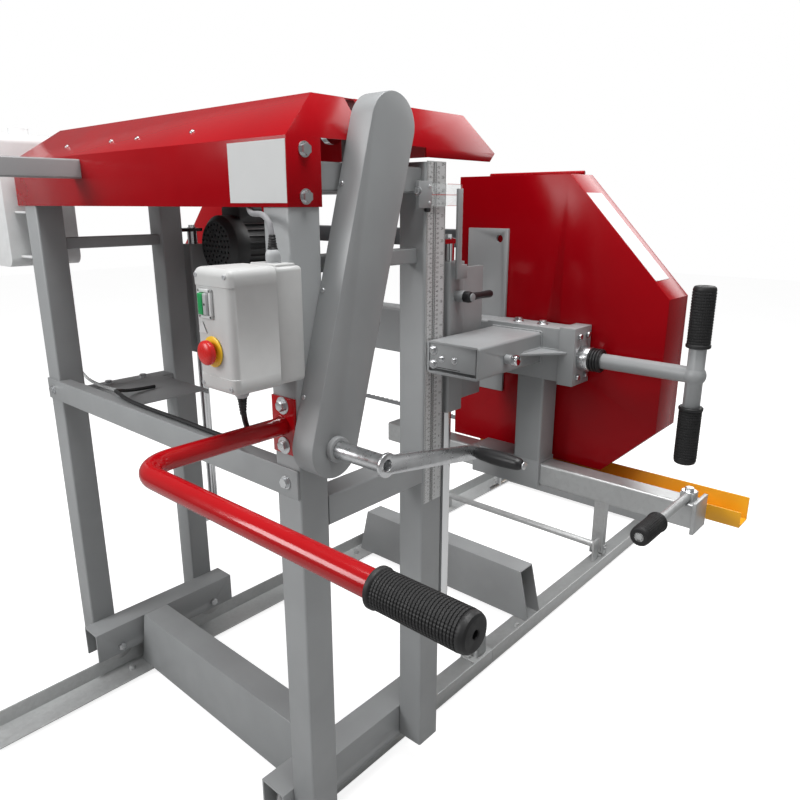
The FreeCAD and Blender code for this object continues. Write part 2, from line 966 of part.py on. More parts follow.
def build_track_fittings():
    """The rail joint plates with an empty stop socket, and the round spreader near the far end."""
    items = [stop_bracket(), *track_feet()]
    for side in SIDES.values():
        low = span(side, "rail_plane - rail_foot_width", "splice_width")
        plate = box(
            (low, "rail_joint - splice_length / 2", FLANGE_TOP),
            ("splice_width", "splice_length", "splice_thick"),
        )
        top = f"{FLANGE_TOP} + splice_thick"
        socket_low = span(side, "rail_plane - rail_foot_width", "socket_side")
        socket = square_tube(
            "Z",
            (socket_low, "rail_joint - socket_side / 2", top),
            ("socket_side", "socket_side", "socket_height"),
            "socket_wall",
        )
        items += [plate, socket]
        across = f"{side} * (rail_plane - rail_foot_width + socket_side / 2)"
        for turn in (-1, 1):
            along = f"rail_joint + {turn} * (splice_length / 2 - splice_bolt_inset)"
            items.append(hexagon("Z", (across, along, top), "splice_bolt_radius", "bolt_head_thick"))
        ear_low = span(side, "tie_half", "tie_ear_thick")
        ear = box(
            (ear_low, "tie_place - tie_ear_side / 2", FLANGE_TOP),
            ("tie_ear_thick", "tie_ear_side", f"tie_height + tie_ear_side / 2 - {FLANGE_TOP}"),
        )
        items.append(ear)
    tie_low = ("-tie_half", "tie_place", "tie_height")
    items.append(pipe("X", tie_low, "tie_radius", "tie_bore", "2 * tie_half"))
    node("track_fittings", group(*items))


def stop_bracket():
    """The forked bracket of the log stop, with its hinge pin."""
    outer = "stop_width + 2 * stop_gap + 2 * stop_ear_thick"
    low = f"stop_across - ({outer}) / 2"
    front = "stop_place - stop_ear_side / 2"
    base = box((low, front, FLANGE_TOP), (outer, "stop_ear_side", "stop_ear_thick"))
    height = f"stop_pivot_height + stop_ear_side / 2 - {FLANGE_TOP}"
    ears = [
        box((edge, front, FLANGE_TOP), ("stop_ear_thick", "stop_ear_side", height))
        for edge in (low, f"{low} + {outer} - stop_ear_thick")
    ]
    pin = rod(
        "X",
        (f"{low} - stop_pin_over", "stop_place", "stop_pivot_height"),
        "stop_pin_radius",
        f"{outer} + 2 * stop_pin_over",
    )
    return fuse(base, *ears, pin)


def build_log_stop():
    """A post that stands beside the log and folds down along the rail."""
    foot = "stop_pivot_height - stop_tail"
    post = square_tube(
        "Z",
        ("stop_across - stop_width / 2", "stop_place - stop_depth / 2", foot),
        ("stop_width", "stop_depth", f"stop_top - ({foot})"),
        "stop_wall",
    )
    lid = box(
        ("stop_across - stop_width / 2", "stop_place - stop_depth / 2", "stop_top - stop_wall"),
        ("stop_width", "stop_depth", "stop_wall"),
    )
    bush = rod(
        "X",
        ("stop_across - stop_width / 2", "stop_place", "stop_pivot_height"),
        "stop_pin_radius + stop_wall",
        "stop_width",
    )
    hole = rod(
        "X",
        ("stop_across - stop_width / 2 - overrun", "stop_place", "stop_pivot_height"),
        "stop_pin_radius + stop_pin_fit",
        "stop_width + 2 * overrun",
    )
    node("log_stop", cut(fuse(post, lid, bush), hole))


def build_posts():
    """The four square posts of the carriage and the channels that hold its wheels."""
    posts = []
    for side in SIDES.values():
        for end in (-1, 1):
            low = (
                span(side, POST_IN, "post_side"),
                f"{end} * post_along - post_side / 2",
                "post_foot",
            )
            size = ("post_side", "post_side", "post_top - post_foot")
            posts.append(square_tube("Z", low, size, "post_wall"))
    node("posts", group(*posts))
    channels, axles = [], []
    for side in SIDES.values():
        low = span(side, CHANNEL_IN, "channel_width")
        height = "channel_top - channel_bottom"
        block = box(
            (low, "-channel_half", "channel_bottom"), ("channel_width", "2 * channel_half", height)
        )
        hollow = box(
            (f"{low} + channel_wall", "-channel_half - overrun", "channel_bottom - overrun"),
            (
                "channel_width - 2 * channel_wall",
                "2 * (channel_half + overrun)",
                f"{height} - channel_wall + overrun",
            ),
        )
        holes = [
            rod(
                "X",
                (f"{low} - overrun", f"{end} * wheel_along", AXLE_UP),
                "axle_radius + axle_fit",
                "channel_width + 2 * overrun",
            )
            for end in (-1, 1)
        ]
        channels.append(cut(block, hollow, *holes))
        for end in (-1, 1):
            axles += axle_set(side, f"{end} * wheel_along")
    node("foot_channels", group(*channels))
    node("wheel_axles", group(*axles))


def axle_set(side, along):
    """One wheel bolt and the two spacers that hold its wheel over the rail."""
    low = span(side, CHANNEL_IN, "channel_width")
    shank = rod("X", (low, along, AXLE_UP), "axle_radius", "channel_width")
    head_low = span(side, f"{CHANNEL_IN} - axle_head_thick", "axle_head_thick")
    head = hexagon("X", (head_low, along, AXLE_UP), "axle_head_radius", "axle_head_thick")
    middle = "(rail_plane - rail_thick / 2)"
    near = f"{CHANNEL_IN} + channel_wall"
    inner = f"{middle} - wheel_width / 2 - wheel_gap - ({near})"
    far = f"{middle} + wheel_width / 2 + wheel_gap"
    outer = f"{POST_IN} - channel_wall - ({far})"
    sleeves = [
        pipe("X", (span(side, start, length), along, AXLE_UP), "spacer_radius",
             "axle_radius + axle_fit", length)
        for start, length in ((near, inner), (far, outer))
    ]
    return [fuse(shank, head), *sleeves]


def build_wheels():
    """Four grooved wheels that run on the upright legs of the rails."""
    half = "(wheel_width - groove_width) / 2"
    section = (
        ("axle_radius + axle_fit", 0),
        ("wheel_radius", 0),
        ("wheel_radius", f"{half} - groove_slope"),
        ("tread_radius", half),
        ("tread_radius", f"{half} + groove_width"),
        ("wheel_radius", f"{half} + groove_width + groove_slope"),
        ("wheel_radius", "wheel_width"),
        ("axle_radius + axle_fit", "wheel_width"),
    )
    for name, side in SIDES.items():
        for word, end in (("near", -1), ("far", 1)):
            low = span(side, "rail_plane - rail_thick / 2 - wheel_width / 2", "wheel_width")
            node(f"wheel_{name}_{word}", turned("X", (low, f"{end} * wheel_along", AXLE_UP), section))


def build_frame():
    """The bars between the posts, and the cable tray."""
    plate = box(
        ("-front_bar_half", f"-{FRONT} - front_bar_thick", "front_bar_top - front_bar_height"),
        ("2 * front_bar_half", "front_bar_thick", "front_bar_height"),
    )
    lip = box(
        (f"-{POST_IN}", f"-{FRONT}", "front_bar_top - front_bar_thick"),
        (f"2 * {POST_IN}", "front_bar_lip", "front_bar_thick"),
    )
    node("front_bar", fuse(plate, lip))
    beams = []
    for side, top in ((1, "side_beam_right_top"), (-1, "side_beam_left_top")):
        low = span(side, f"{POST_OUT} - side_beam_depth", "side_beam_depth")
        beams.append(
            square_tube(
                "Y",
                (low, f"-{BAY}", f"{top} - side_beam_height"),
                ("side_beam_depth", f"2 * {BAY}", "side_beam_height"),
                "side_beam_wall",
            )
        )
    tray_low = f"-{POST_OUT} + side_beam_depth"
    tray = box(
        (tray_low, "-tray_depth / 2", "side_beam_left_top - tray_thick"),
        ("tray_reach", "tray_depth", "tray_thick"),
    )
    lips = [
        box((tray_low, edge, "side_beam_left_top - tray_lip"), ("tray_reach", "tray_thick", "tray_lip"))
        for edge in ("-tray_depth / 2", "tray_depth / 2 - tray_thick")
    ]
    node("side_beams", group(*beams, fuse(tray, *lips)))
    bars = []
    for side in SIDES.values():
        for width, wall, top in (
            ("upper_bar_side", "upper_bar_wall", "upper_bar_top"),
            ("top_tube_side", "top_tube_wall", "top_tube_top"),
        ):
            low = (f"{side} * post_across - {width} / 2", f"-{BAY}", f"{top} - {width}")
            bars.append(square_tube("Y", low, (width, f"2 * {BAY}", width), wall))
        cross_low = (
            f"-{POST_IN}",
            f"{side} * post_along - top_tube_side / 2",
            "top_tube_top - top_tube_side",
        )
        cross_size = (f"2 * {POST_IN}", "top_tube_side", "top_tube_side")
        bars.append(square_tube("X", cross_low, cross_size, "top_tube_wall"))
        bars.append(shaft_block(side))
    node("upper_frame", group(*bars))


def shaft_block(side):
    """A block on the top side tube that carries the lift shaft."""
    low = span(side, "post_across - bearing_inset - bearing_thick / 2", "bearing_thick")
    block = box(
        (low, "lift_along - bearing_side / 2", "top_tube_top"),
        ("bearing_thick", "bearing_side", "lift_up + bearing_over - top_tube_top"),
    )
    hole = rod(
        "X",
        (f"{low} - overrun", "lift_along", "lift_up"),
        "lift_shaft_radius + crank_fit",
        "bearing_thick + 2 * overrun",
    )
    return cut(block, hole)


def build_columns():
    """The round guide columns behind the far posts, and the ears that hold them."""
    items = []
    for side in SIDES.values():
        across = f"{side} * post_across"
        items.append(
            rod("Z", (across, "column_along", "column_foot"), "column_radius", "column_top - column_foot")
        )
        for low in ("column_foot - column_ear_thick", "column_top"):
            items.append(
                box(
                    (f"{across} - column_ear_width / 2", FRONT, low),
                    ("column_ear_width", f"{BACK} - {FRONT}", "column_ear_thick"),
                )
            )
        items.append(bolt("Z", (across, "column_along", "column_top + column_ear_thick")))
    node("columns", group(*items))


def build_hood():
    """The folded sheet hood over the posts: a skirt, two wraps, a lip and a hipped roof."""
    width = f"({HOOD_RIGHT} - hood_left)"
    deep = f"({HOOD_FRONT} + hood_back)"
    drop = "(hood_fold - hood_bottom)"
    skirt = box(("hood_left", f"-{HOOD_FRONT}", "hood_bottom"), (width, "hood_sheet", drop))
    wraps = [
        box((low, f"-{HOOD_FRONT}", "hood_bottom"), ("hood_sheet", "hood_wrap", drop))
        for low in ("hood_left", f"{HOOD_RIGHT} - hood_sheet")
    ]
    lips = [
        padded(
            "YZ",
            (
                ("hood_flank_start", "hood_fold - hood_lip"),
                ("hood_flank_start", "hood_fold"),
                ("hood_back", "hood_fold"),
                ("hood_back - hood_lip", "hood_fold - hood_lip"),
            ),
            "hood_sheet",
            (low, 0, 0),
        )
        for low in ("hood_left", f"{HOOD_RIGHT} - hood_sheet")
    ]
    roof = hood_wedge(0, 0)
    hollow = hood_wedge("hood_sheet", "hood_sheet")
    edge = box(
        (f"{POST_OUT}", "lift_along - case_notch", "hood_fold - overrun"),
        ("hood_sheet + 2 * overrun", "2 * case_notch", "hood_rise + 2 * overrun"),
    )
    slot = box(
        (f"{POST_OUT} - hood_side_bevel", "lift_along - lift_slot", "hood_fold - overrun"),
        ("hood_side_bevel + 2 * overrun", "2 * lift_slot", "hood_rise + 2 * overrun"),
    )
    node("hood", cut(fuse(skirt, *wraps, *lips, cut(roof, hollow)), edge, slot))


def hood_wedge(inset, drop):
    """The hipped roof block, drawn in by a sheet where it is the hollow."""
    item = DOC.addObject("Part::Wedge", "Hip")
    bind(item, "Xmin", f"hood_left + {inset}")
    bind(item, "Xmax", f"{HOOD_RIGHT} - {inset}")
    bind(item, "X2min", f"hood_left + hood_side_bevel + {inset}")
    bind(item, "X2max", f"{HOOD_RIGHT} - hood_side_bevel - {inset}")
    bind(item, "Zmin", f"-hood_back + {inset}")
    bind(item, "Zmax", f"{HOOD_FRONT} - {inset}")
    bind(item, "Z2min", f"-hood_back + hood_back_bevel + {inset}")
    bind(item, "Z2max", f"{HOOD_FRONT} - hood_front_bevel - {inset}")
    bind(item, "Ymin", "hood_fold")
    bind(item, "Ymax", f"hood_fold + hood_rise - {drop}")
    return place(item, (0, 0, 0), Rotation(Vector(1, 0, 0), 90))


def build_arm():
    """The square arm that stands out from the front of the hood."""
    low = ("arm_across - arm_side / 2", f"-{HOOD_FRONT} - arm_length", "arm_top - arm_side")
    node("hanger_arm", square_tube("Y", low, ("arm_side", "arm_length", "arm_side"), "arm_wall"))


def build_tank():
    """The lubricant tank beside the left near post, on two bars, with its cap and tap."""
    low = ("tank_left", "tank_front", "tank_bottom")
    size = ("tank_width", "tank_depth", "tank_height")
    body = soft_block("Y", low, size, "tank_corner")
    middle = ("tank_left + tank_width / 2", "tank_front + tank_depth / 2")
    neck = rod("Z", (*middle, "tank_bottom + tank_height"), "tank_cap_radius", "tank_cap_height")
    tap = rod(
        "Z",
        ("tank_tap_across", "tank_tap_along", "tank_bottom - tank_tap_length"),
        "tank_tap_radius",
        "tank_tap_length",
    )
    bars = [
        box(
            ("tank_left + tank_width", f"-{FRONT}", f"{up}"),
            (f"-{POST_OUT} - tank_left - tank_width", "post_side", "tank_bar_thick"),
        )
        for up in ("tank_bottom + tank_corner", "hood_bottom - tank_bar_drop")
    ]
    node("lube_tank", group(fuse(body, neck, tap), *bars))


def build_case():
    """The flat lift case with its shaft holes, and the chain loop inside it."""
    low_end, high_end = ("crank_along", "crank_up"), ("lift_along", "lift_up")
    back = f"{POST_OUT} + sheet_gap"
    shell = oval("YZ", low_end, high_end, "case_radius", back, "case_thick")
    inner = oval(
        "YZ",
        low_end,
        high_end,
        "case_radius - case_sheet",
        f"{back} + case_back_thick",
        "case_thick - case_back_thick - case_sheet",
    )
    lift_hole = rod(
        "X", (f"{back} - overrun", *high_end), "lift_shaft_radius + crank_hole_gap",
        "case_back_thick + 2 * overrun",
    )
    crank_hole = rod(
        "X",
        (f"{back} + case_thick - case_sheet - overrun", *low_end),
        "crank_radius + crank_fit",
        "case_sheet + 2 * overrun",
    )
    bush = pipe(
        "X",
        (f"{back} + case_thick", *low_end),
        "crank_bush_radius",
        "crank_radius + crank_fit",
        "crank_bush_length",
    )
    node("crank_case", group(cut(shell, inner, lift_hole, crank_hole), bush))
    tip = "sprocket_tip_radius + chain_gap"
    start = f"{back} + sprocket_inset + sprocket_thick / 2 - chain_width / 2"
    outer = oval("YZ", low_end, high_end, f"({tip} + chain_thick)", start, "chain_width")
    hollow = oval(
        "YZ", low_end, high_end, f"({tip})", f"{start} - overrun", "chain_width + 2 * overrun"
    )
    node("lift_chain", cut(outer, hollow))


def sprocket(at):
    """A sprocket blank."""
    return rod("X", at, "sprocket_tip_radius", "sprocket_thick")


def build_crank():
    """The crank tube with its sprocket, flat lever and the free-turning grip."""
    back = f"{POST_OUT} + sheet_gap"
    start = f"{back} + case_back_thick + case_gap"
    face = f"({back} + case_thick + crank_reach)"
    low_end = ("crank_along", "crank_up")
    tube = rod("X", (start, *low_end), "crank_radius", f"{face} - ({start})")
    bore = rod("X", (f"{face} - crank_bore_depth", *low_end), "crank_bore", "crank_bore_depth + overrun")
    wheel = sprocket((f"{back} + sprocket_inset", *low_end))
    tip = ("crank_along + lever_reach", "crank_up - lever_fall")
    plate = f"{face} - lever_thick"
    eye = rod("X", (plate, *low_end), "lever_eye_radius", "lever_thick")
    end = rod("X", (plate, *tip), "lever_end_radius", "lever_thick")
    run = "lever_reach / sqrt(lever_reach^2 + lever_fall^2)"
    rise = "lever_fall / sqrt(lever_reach^2 + lever_fall^2)"
    sides = [
        (f"{low_end[0]} + {turn} * {size} * {rise}", f"{low_end[1]} + {turn} * {size} * {run}")
        if where == 0
        else (f"{tip[0]} + {turn} * {size} * {rise}", f"{tip[1]} + {turn} * {size} * {run}")
        for where, turn, size in (
            (0, 1, "lever_root_half"),
            (1, 1, "lever_end_radius"),
            (1, -1, "lever_end_radius"),
            (0, -1, "lever_root_half"),
        )
    ]
    bar = padded("YZ", sides, "lever_thick", (plate, 0, 0))
    pin_length = "grip_gap + grip_length + grip_gap"
    pin = rod("X", (face, *tip), "grip_pin_radius", pin_length)
    stop = rod("X", (f"{face} + {pin_length}", *tip), "grip_pin_radius + grip_pin_head", "grip_pin_head")
    node("crank", cut(fuse(tube, wheel, eye, bar, end, pin, stop), bore))
    section = grip_section("grip_pin_radius + crank_fit", "grip_radius", "grip_length", "grip_flare")
    node("crank_grip", turned("X", (f"{face} + grip_gap", *tip), section))


def grip_grooves(radius, start, end, count):
    """The corners of evenly spaced rings of grooves between two heights of a grip's section."""
    corners = []
    for step in range(count):
        for share, depth in ((0.25, "0"), (0.4, "groove_depth"), (0.7, "groove_depth"), (0.85, "0")):
            height = f"{start} + {(step + share) / count:.5f} * ({end} - {start})"
            corners.append((f"{radius} - {depth}", height))
    return corners


def grip_section(bore, radius, length, flare, grooves=0):
    """Half the section of a grip with a raised collar at each end, and rings of grooves between."""
    return (
        (bore, 0),
        (f"{radius} + {flare}", 0),
        (f"{radius} + {flare}", f"2 * {flare}"),
        (radius, f"3 * {flare}"),
        *grip_grooves(radius, f"3 * {flare}", f"({length} - 3 * {flare})", grooves),
        (radius, f"{length} - 3 * {flare}"),
        (f"{radius} + {flare}", f"{length} - 2 * {flare}"),
        (f"{radius} + {flare}", length),
        (bore, length),
    )


def build_lift_shaft():
    """The shaft under the hood, with its sprocket and two drums."""
    back = f"{POST_OUT} + sheet_gap"
    high_end = ("lift_along", "lift_up")
    end = f"{back} + sprocket_inset + sprocket_thick + case_gap"
    shaft = rod("X", ("lift_shaft_left", *high_end), "lift_shaft_radius", f"{end} - lift_shaft_left")
    wheel = sprocket((f"{back} + sprocket_inset", *high_end))
    drums = [
        rod(
            "X",
            (span(side, f"{POST_IN} - drum_inset - drum_width", "drum_width"), *high_end),
            "drum_radius",
            "drum_width",
        )
        for side in SIDES.values()
    ]
    node("lift_shaft", fuse(shaft, wheel, *drums))


def build_switch_box():
    """The rounded switch box on the right near post, in a base and a lid, with its glands."""
    back = f"-{FRONT} - sheet_gap"
    front = f"({back} - box_depth)"
    lid_depth = "(box_depth * lid_share)"
    lid = soft_block(
        "Y",
        ("box_left", front, "box_bottom"),
        ("box_width", f"{lid_depth} - box_seam", "box_height"),
        "box_corner",
    )
    base = soft_block(
        "Y",
        ("box_left + box_step", f"{front} + {lid_depth}", "box_bottom + box_step"),
        ("box_width - 2 * box_step", f"box_depth - {lid_depth}", "box_height - 2 * box_step"),
        "box_corner",
    )
    stop_at = ("stop_button_across", "stop_button_up")
    stop_hole = rod(
        "Y",
        (stop_at[0], f"{front} - overrun", stop_at[1]),
        "stop_button_neck + button_gap",
        "button_pocket + overrun",
    )
    start_low = "start_button_across - start_button_width / 2 - button_gap"
    start_up = "start_button_up - start_button_height / 2 - button_gap"
    start_hole = box(
        (start_low, f"{front} - overrun", start_up),
        (
            "start_button_width + 2 * button_gap",
            "button_pocket + overrun",
            "start_button_height + 2 * button_gap",
        ),
    )
    frame = box(
        (
            "start_button_across - start_frame_width / 2",
            f"{front} - start_frame_thick",
            "start_button_up - start_button_height / 2 - start_frame_over",
        ),
        ("start_frame_width", "start_frame_thick", "start_button_height + 2 * start_frame_over"),
    )
    frame_hole = box(
        (start_low, f"{front} - start_frame_thick - overrun", start_up),
        (
            "start_button_width + 2 * button_gap",
            "start_frame_thick + 2 * overrun",
            "start_button_height + 2 * button_gap",
        ),
    )
    gland_at = ("gland_across", "gland_along", "box_bottom + box_height - box_step")
    gland = fuse(
        hexagon("Z", gland_at, "gland_radius", "gland_height / 2"),
        rod("Z", gland_at, "gland_radius * gland_cap_share", "gland_height"),
    )
    under_at = ("under_gland_across", "under_gland_along", "box_bottom - under_gland_height")
    under = rod("Z", under_at, "gland_radius * gland_cap_share", "under_gland_height")
    collar = pipe(
        "Y",
        (stop_at[0], f"{front} - stop_collar_thick", stop_at[1]),
        "stop_collar_radius",
        "stop_button_neck + button_gap",
        "stop_collar_thick",
    )
    lid = cut(lid, stop_hole, start_hole)
    node("switch_box", group(lid, base, cut(frame, frame_hole), gland, under, collar))
    neck_start = f"{front} + button_pocket - stop_button_stroke - button_gap"
    head_start = f"{front} - stop_collar_thick - stop_button_stroke - button_gap"
    neck = rod(
        "Y",
        (stop_at[0], head_start, stop_at[1]),
        "stop_button_neck",
        f"{neck_start} - ({head_start})",
    )
    cap_section = (
        (0, 0),
        ("stop_button_radius - stop_button_round", 0),
        ("stop_button_radius", "stop_button_round"),
        ("stop_button_radius", "stop_button_thick"),
        (0, "stop_button_thick"),
    )
    cap = turned("Y", (stop_at[0], f"{head_start} - stop_button_thick", stop_at[1]), cap_section)
    node("stop_button", fuse(neck, cap))
    button = box(
        (
            "start_button_across - start_button_width / 2",
            f"{front} - start_frame_thick - start_button_proud",
            "start_button_up - start_button_height / 2",
        ),
        (
            "start_button_width",
            "start_frame_thick + start_button_proud + button_pocket - stop_button_stroke - button_gap",
            "start_button_height",
        ),
    )
    node("start_button", button)


def build_push_handle():
    """The bent push handle, its bracket on the post and its grip."""
    up = "handle_up"
    plate_front = f"-{FRONT} - sheet_gap - handle_plate_thick"
    plate = box(
        ("handle_across - handle_plate_width / 2", plate_front, "handle_up - handle_plate_height / 2"),
        ("handle_plate_width", "handle_plate_thick", "handle_plate_height"),
    )
    bolts = [
        bolt("Y", ("handle_across", plate_front, f"handle_up + {turn} * handle_bolt_reach"), -1)
        for turn in (-1, 1)
    ]
    tube = handle_run("handle_radius", plate_front, 0)
    hollow = handle_run("handle_bore", plate_front, "overrun")
    node("push_handle", group(cut(tube, hollow), plate, *bolts))
    section = (
        ("handle_radius + crank_fit", 0),
        ("hand_grip_flare", 0),
        ("hand_grip_flare", "hand_grip_collar"),
        ("hand_grip_radius", "hand_grip_collar"),
        *grip_grooves("hand_grip_radius", "hand_grip_collar", "(hand_grip_length - hand_grip_collar)", 14),
        ("hand_grip_radius", "hand_grip_length - hand_grip_collar"),
        ("hand_grip_flare", "hand_grip_length - hand_grip_collar"),
        ("hand_grip_flare", "hand_grip_length"),
        ("hand_grip_vent", "hand_grip_length"),
        ("hand_grip_vent", "hand_grip_length - hand_grip_cap"),
        ("handle_radius + crank_fit", "hand_grip_length - hand_grip_cap"),
    )
    node("push_grip", turned("X", ("handle_end - hand_grip_length", "handle_out", up), section))


def handle_run(radius, plate_front, over):
    """The run of the push handle: out from the post, a bend, and across."""
    out = rod(
        "Y",
        ("handle_across", "handle_out + handle_bend", "handle_up"),
        radius,
        f"{plate_front} + {over} - (handle_out + handle_bend)",
    )
    bend = elbow(
        ("handle_across + handle_bend", "handle_out + handle_bend", "handle_up"),
        Rotation(Vector(0, 0, 1), 180),
        "handle_bend",
        radius,
        90,
    )
    across = rod(
        "X",
        ("handle_across + handle_bend", "handle_out", "handle_up"),
        radius,
        f"handle_end - hand_grip_cap + {over} - handle_across - handle_bend",
    )
    return fuse(out, bend, across)


def build_sleeves():
    """The square sleeves that run on the columns, with a bush at each end."""
    items = []
    for side in SIDES.values():
        across = f"{side} * post_across"
        low = (f"{across} - sleeve_side / 2", "column_along - sleeve_side / 2", "sleeve_bottom")
        size = ("sleeve_side", "sleeve_side", "sleeve_top - sleeve_bottom")
        items.append(square_tube("Z", low, size, "sleeve_wall"))
        for start in ("sleeve_bottom", "sleeve_top - bush_length"):
            items.append(
                pipe(
                    "Z",
                    (across, "column_along", start),
                    "sleeve_side / 2 - sleeve_wall",
                    "column_radius + bush_fit",
                    "bush_length",
                )
            )
    node("sleeves", group(*items))


def build_head_beam():
    """The cross beam of the head with its webs, mounting plates and the left end block."""
    beam = square_tube_flat(
        "X",
        ("-beam_half", "beam_front", "beam_bottom"),
        ("2 * beam_half", "beam_depth", "beam_top - beam_bottom"),
        "beam_wall",
    )
    items = [beam]
    sleeve_back = "column_along + sleeve_side / 2"
    for side in SIDES.values():
        items.append(
            box(
                (f"{side} * post_across - web_thick / 2", sleeve_back, "web_bottom"),
                ("web_thick", f"beam_front - ({sleeve_back})", "web_top - web_bottom"),
            )
        )
        low = span(side, "plate_inner", "plate_outer - plate_inner")
        plate = box(
            (low, "beam_front + beam_depth", "plate_bottom"),
            ("plate_outer - plate_inner", "cover_front - beam_front - beam_depth", "plate_top - plate_bottom"),
        )
        hole = rod(
            "Y",
            (
                f"{side} * (plate_outer - plate_hole_inset)",
                "beam_front + beam_depth - overrun",
                "plate_top - plate_hole_inset",
            ),
            "plate_hole_radius",
            "cover_front - beam_front - beam_depth + 2 * overrun",
        )
        items.append(cut(plate, hole))
    end = box(
        ("-beam_half - block_reach", "beam_front", "beam_bottom"),
        ("block_reach", "beam_depth", "beam_top - beam_bottom"),
    )
    axle = rod(
        "Y",
        ("-wheel_across", "beam_front + beam_depth", "spindle_up"),
        "hub_axle_radius",
        f"{HUB_END} + wheel_gap - beam_front - beam_depth",
    )
    washer = rod(
        "Y",
        ("-wheel_across", f"{HUB_END} + wheel_gap", "spindle_up"),
        "wheel_washer_radius",
        "wheel_washer_thick",
    )
    node("head_beam", group(*items, fuse(end, axle, washer)))


def square_tube_flat(axis, low, size, wall):
    """A box section whose two sides differ, open at both ends."""
    return square_tube(axis, low, size, wall)


def build_tension_block():
    """The block that guides the idler's slide, with its end plate and screw cup."""
    height = "beam_top - beam_bottom"
    block = box(("beam_half", "beam_front", "beam_bottom"), ("block_reach", "beam_depth", height))
    inner_low = ("beam_half + block_wall", "beam_front + block_wall", "beam_bottom + block_wall")
    inner = box(
        inner_low,
        ("block_reach", "beam_depth - 2 * block_wall", f"{height} - 2 * block_wall"),
    )
    slot = oval(
        "XZ",
        ("wheel_across - slide_travel", "spindle_up"),
        ("wheel_across", "spindle_up"),
        "(hub_axle_radius + slot_gap)",
        "beam_front + beam_depth - block_wall - overrun",
        "block_wall + 2 * overrun",
    )
    plate_low = (
        "beam_half + block_reach",
        "beam_front - end_plate_over",
        "beam_bottom - end_plate_over",
    )
    plate = box(
        plate_low,
        ("end_plate_thick", "beam_depth + 2 * end_plate_over", f"{height} + 2 * end_plate_over"),
    )
    hole = rod(
        "X",
        ("beam_half + block_reach - overrun", "spindle_along", "spindle_up"),
        "spindle_radius + spindle_fit",
        "end_plate_thick + 2 * overrun",
    )
    face = "beam_half + block_reach + end_plate_thick"
    cup = pipe(
        "X", (face, "spindle_along", "spindle_up"), "cup_radius", "spindle_radius + spindle_fit",
        "cup_length",
    )
    bellows = turned(
        "X",
        (f"{face} + cup_length", "spindle_along", "spindle_up"),
        (
            ("spindle_radius + spindle_fit", 0),
            ("bellows_radius", 0),
            ("bellows_ring", "bellows_pitch / 2"),
            ("bellows_radius", "bellows_pitch"),
            ("bellows_ring", "3 * bellows_pitch / 2"),
            ("bellows_radius", "2 * bellows_pitch"),
            ("bellows_ring", "5 * bellows_pitch / 2"),
            ("bellows_radius", "3 * bellows_pitch"),
            ("spindle_radius + spindle_fit", "3 * bellows_pitch"),
        ),
    )
    bolts = []
    for turn_y in (-1, 1):
        for turn_z in (-1, 1):
            bolts.append(
                hexagon(
                    "X",
                    (
                        face,
                        f"beam_front + beam_depth / 2 + {turn_y} * (beam_depth / 2 - block_bolt_inset)",
                        f"(beam_top + beam_bottom) / 2 + {turn_z} * ({height} - 2 * block_bolt_inset) / 2",
                    ),
                    "block_bolt_radius",
                    "bolt_head_thick",
                )
            )
    for share in (1, 2):
        bolts.append(
            bolt("Z", (f"beam_half + block_reach * {share} / 3", "beam_front + beam_depth / 2", "beam_top"))
        )
    node("tension_block", group(cut(block, inner, slot), cut(plate, hole), cup, bellows, *bolts))


def build_idler():
    """The idler's slide with its stub axle."""
    low = (
        "slide_left",
        "beam_front + block_wall + slide_gap",
        "beam_bottom + block_wall + slide_gap",
    )
    size = (
        "slide_width",
        "beam_depth - 2 * (block_wall + slide_gap)",
        "beam_top - beam_bottom - 2 * (block_wall + slide_gap)",
    )
    start = "beam_front + beam_depth - block_wall - slide_gap"
    axle = rod(
        "Y",
        ("wheel_across", start, "spindle_up"),
        "hub_axle_radius",
        f"{HUB_END} + wheel_gap - ({start})",
    )
    washer = rod(
        "Y",
        ("wheel_across", f"{HUB_END} + wheel_gap", "spindle_up"),
        "wheel_washer_radius",
        "wheel_washer_thick",
    )
    node("idler_slide", fuse(box(low, size), axle, washer))


def build_tee():
    """The tensioning spindle with its bellows, cross tube and two grips."""
    start = "slide_left + slide_width + slide_gap"
    spot = ("spindle_along", "spindle_up")
    shank = rod("X", (start, *spot), "spindle_radius", f"spindle_end - ({start})")
    boss = ball(("spindle_end", *spot), "tee_boss")
    cross = rod("Z", ("spindle_end", "spindle_along", "tee_bottom"), "spindle_radius", "tee_top - tee_bottom")
    grips_gap = "tee_grip_length - tee_grip_cap"
    bore = rod(
        "Z",
        ("spindle_end", "spindle_along", "tee_bottom - overrun"),
        "spindle_bore",
        "tee_top - tee_bottom + 2 * overrun",
    )
    node("tee_handle", cut(fuse(shank, boss, cross), bore))
    section = (
        ("spindle_radius + spindle_fit", 0),
        ("tee_grip_collar", 0),
        ("tee_grip_collar", "tee_grip_collar_thick"),
        ("tee_grip_radius", "2 * tee_grip_collar_thick"),
        *grip_grooves(
            "tee_grip_radius", "2 * tee_grip_collar_thick", "(tee_grip_length - tee_grip_collar_thick)", 12
        ),
        ("tee_grip_radius", "tee_grip_length - tee_grip_collar_thick"),
        ("tee_grip_radius - tee_grip_round", "tee_grip_length"),
        ("hand_grip_vent", "tee_grip_length"),
        ("hand_grip_vent", grips_gap),
        ("spindle_radius + spindle_fit", grips_gap),
    )
    top = turned("Z", ("spindle_end", "spindle_along", f"tee_top - ({grips_gap})"), section)
    flipped = [(radius, f"-({height})") for radius, height in section]
    bottom = turned("Z", ("spindle_end", "spindle_along", f"tee_bottom + ({grips_gap})"), flipped)
    node("tee_grips", group(top, bottom))


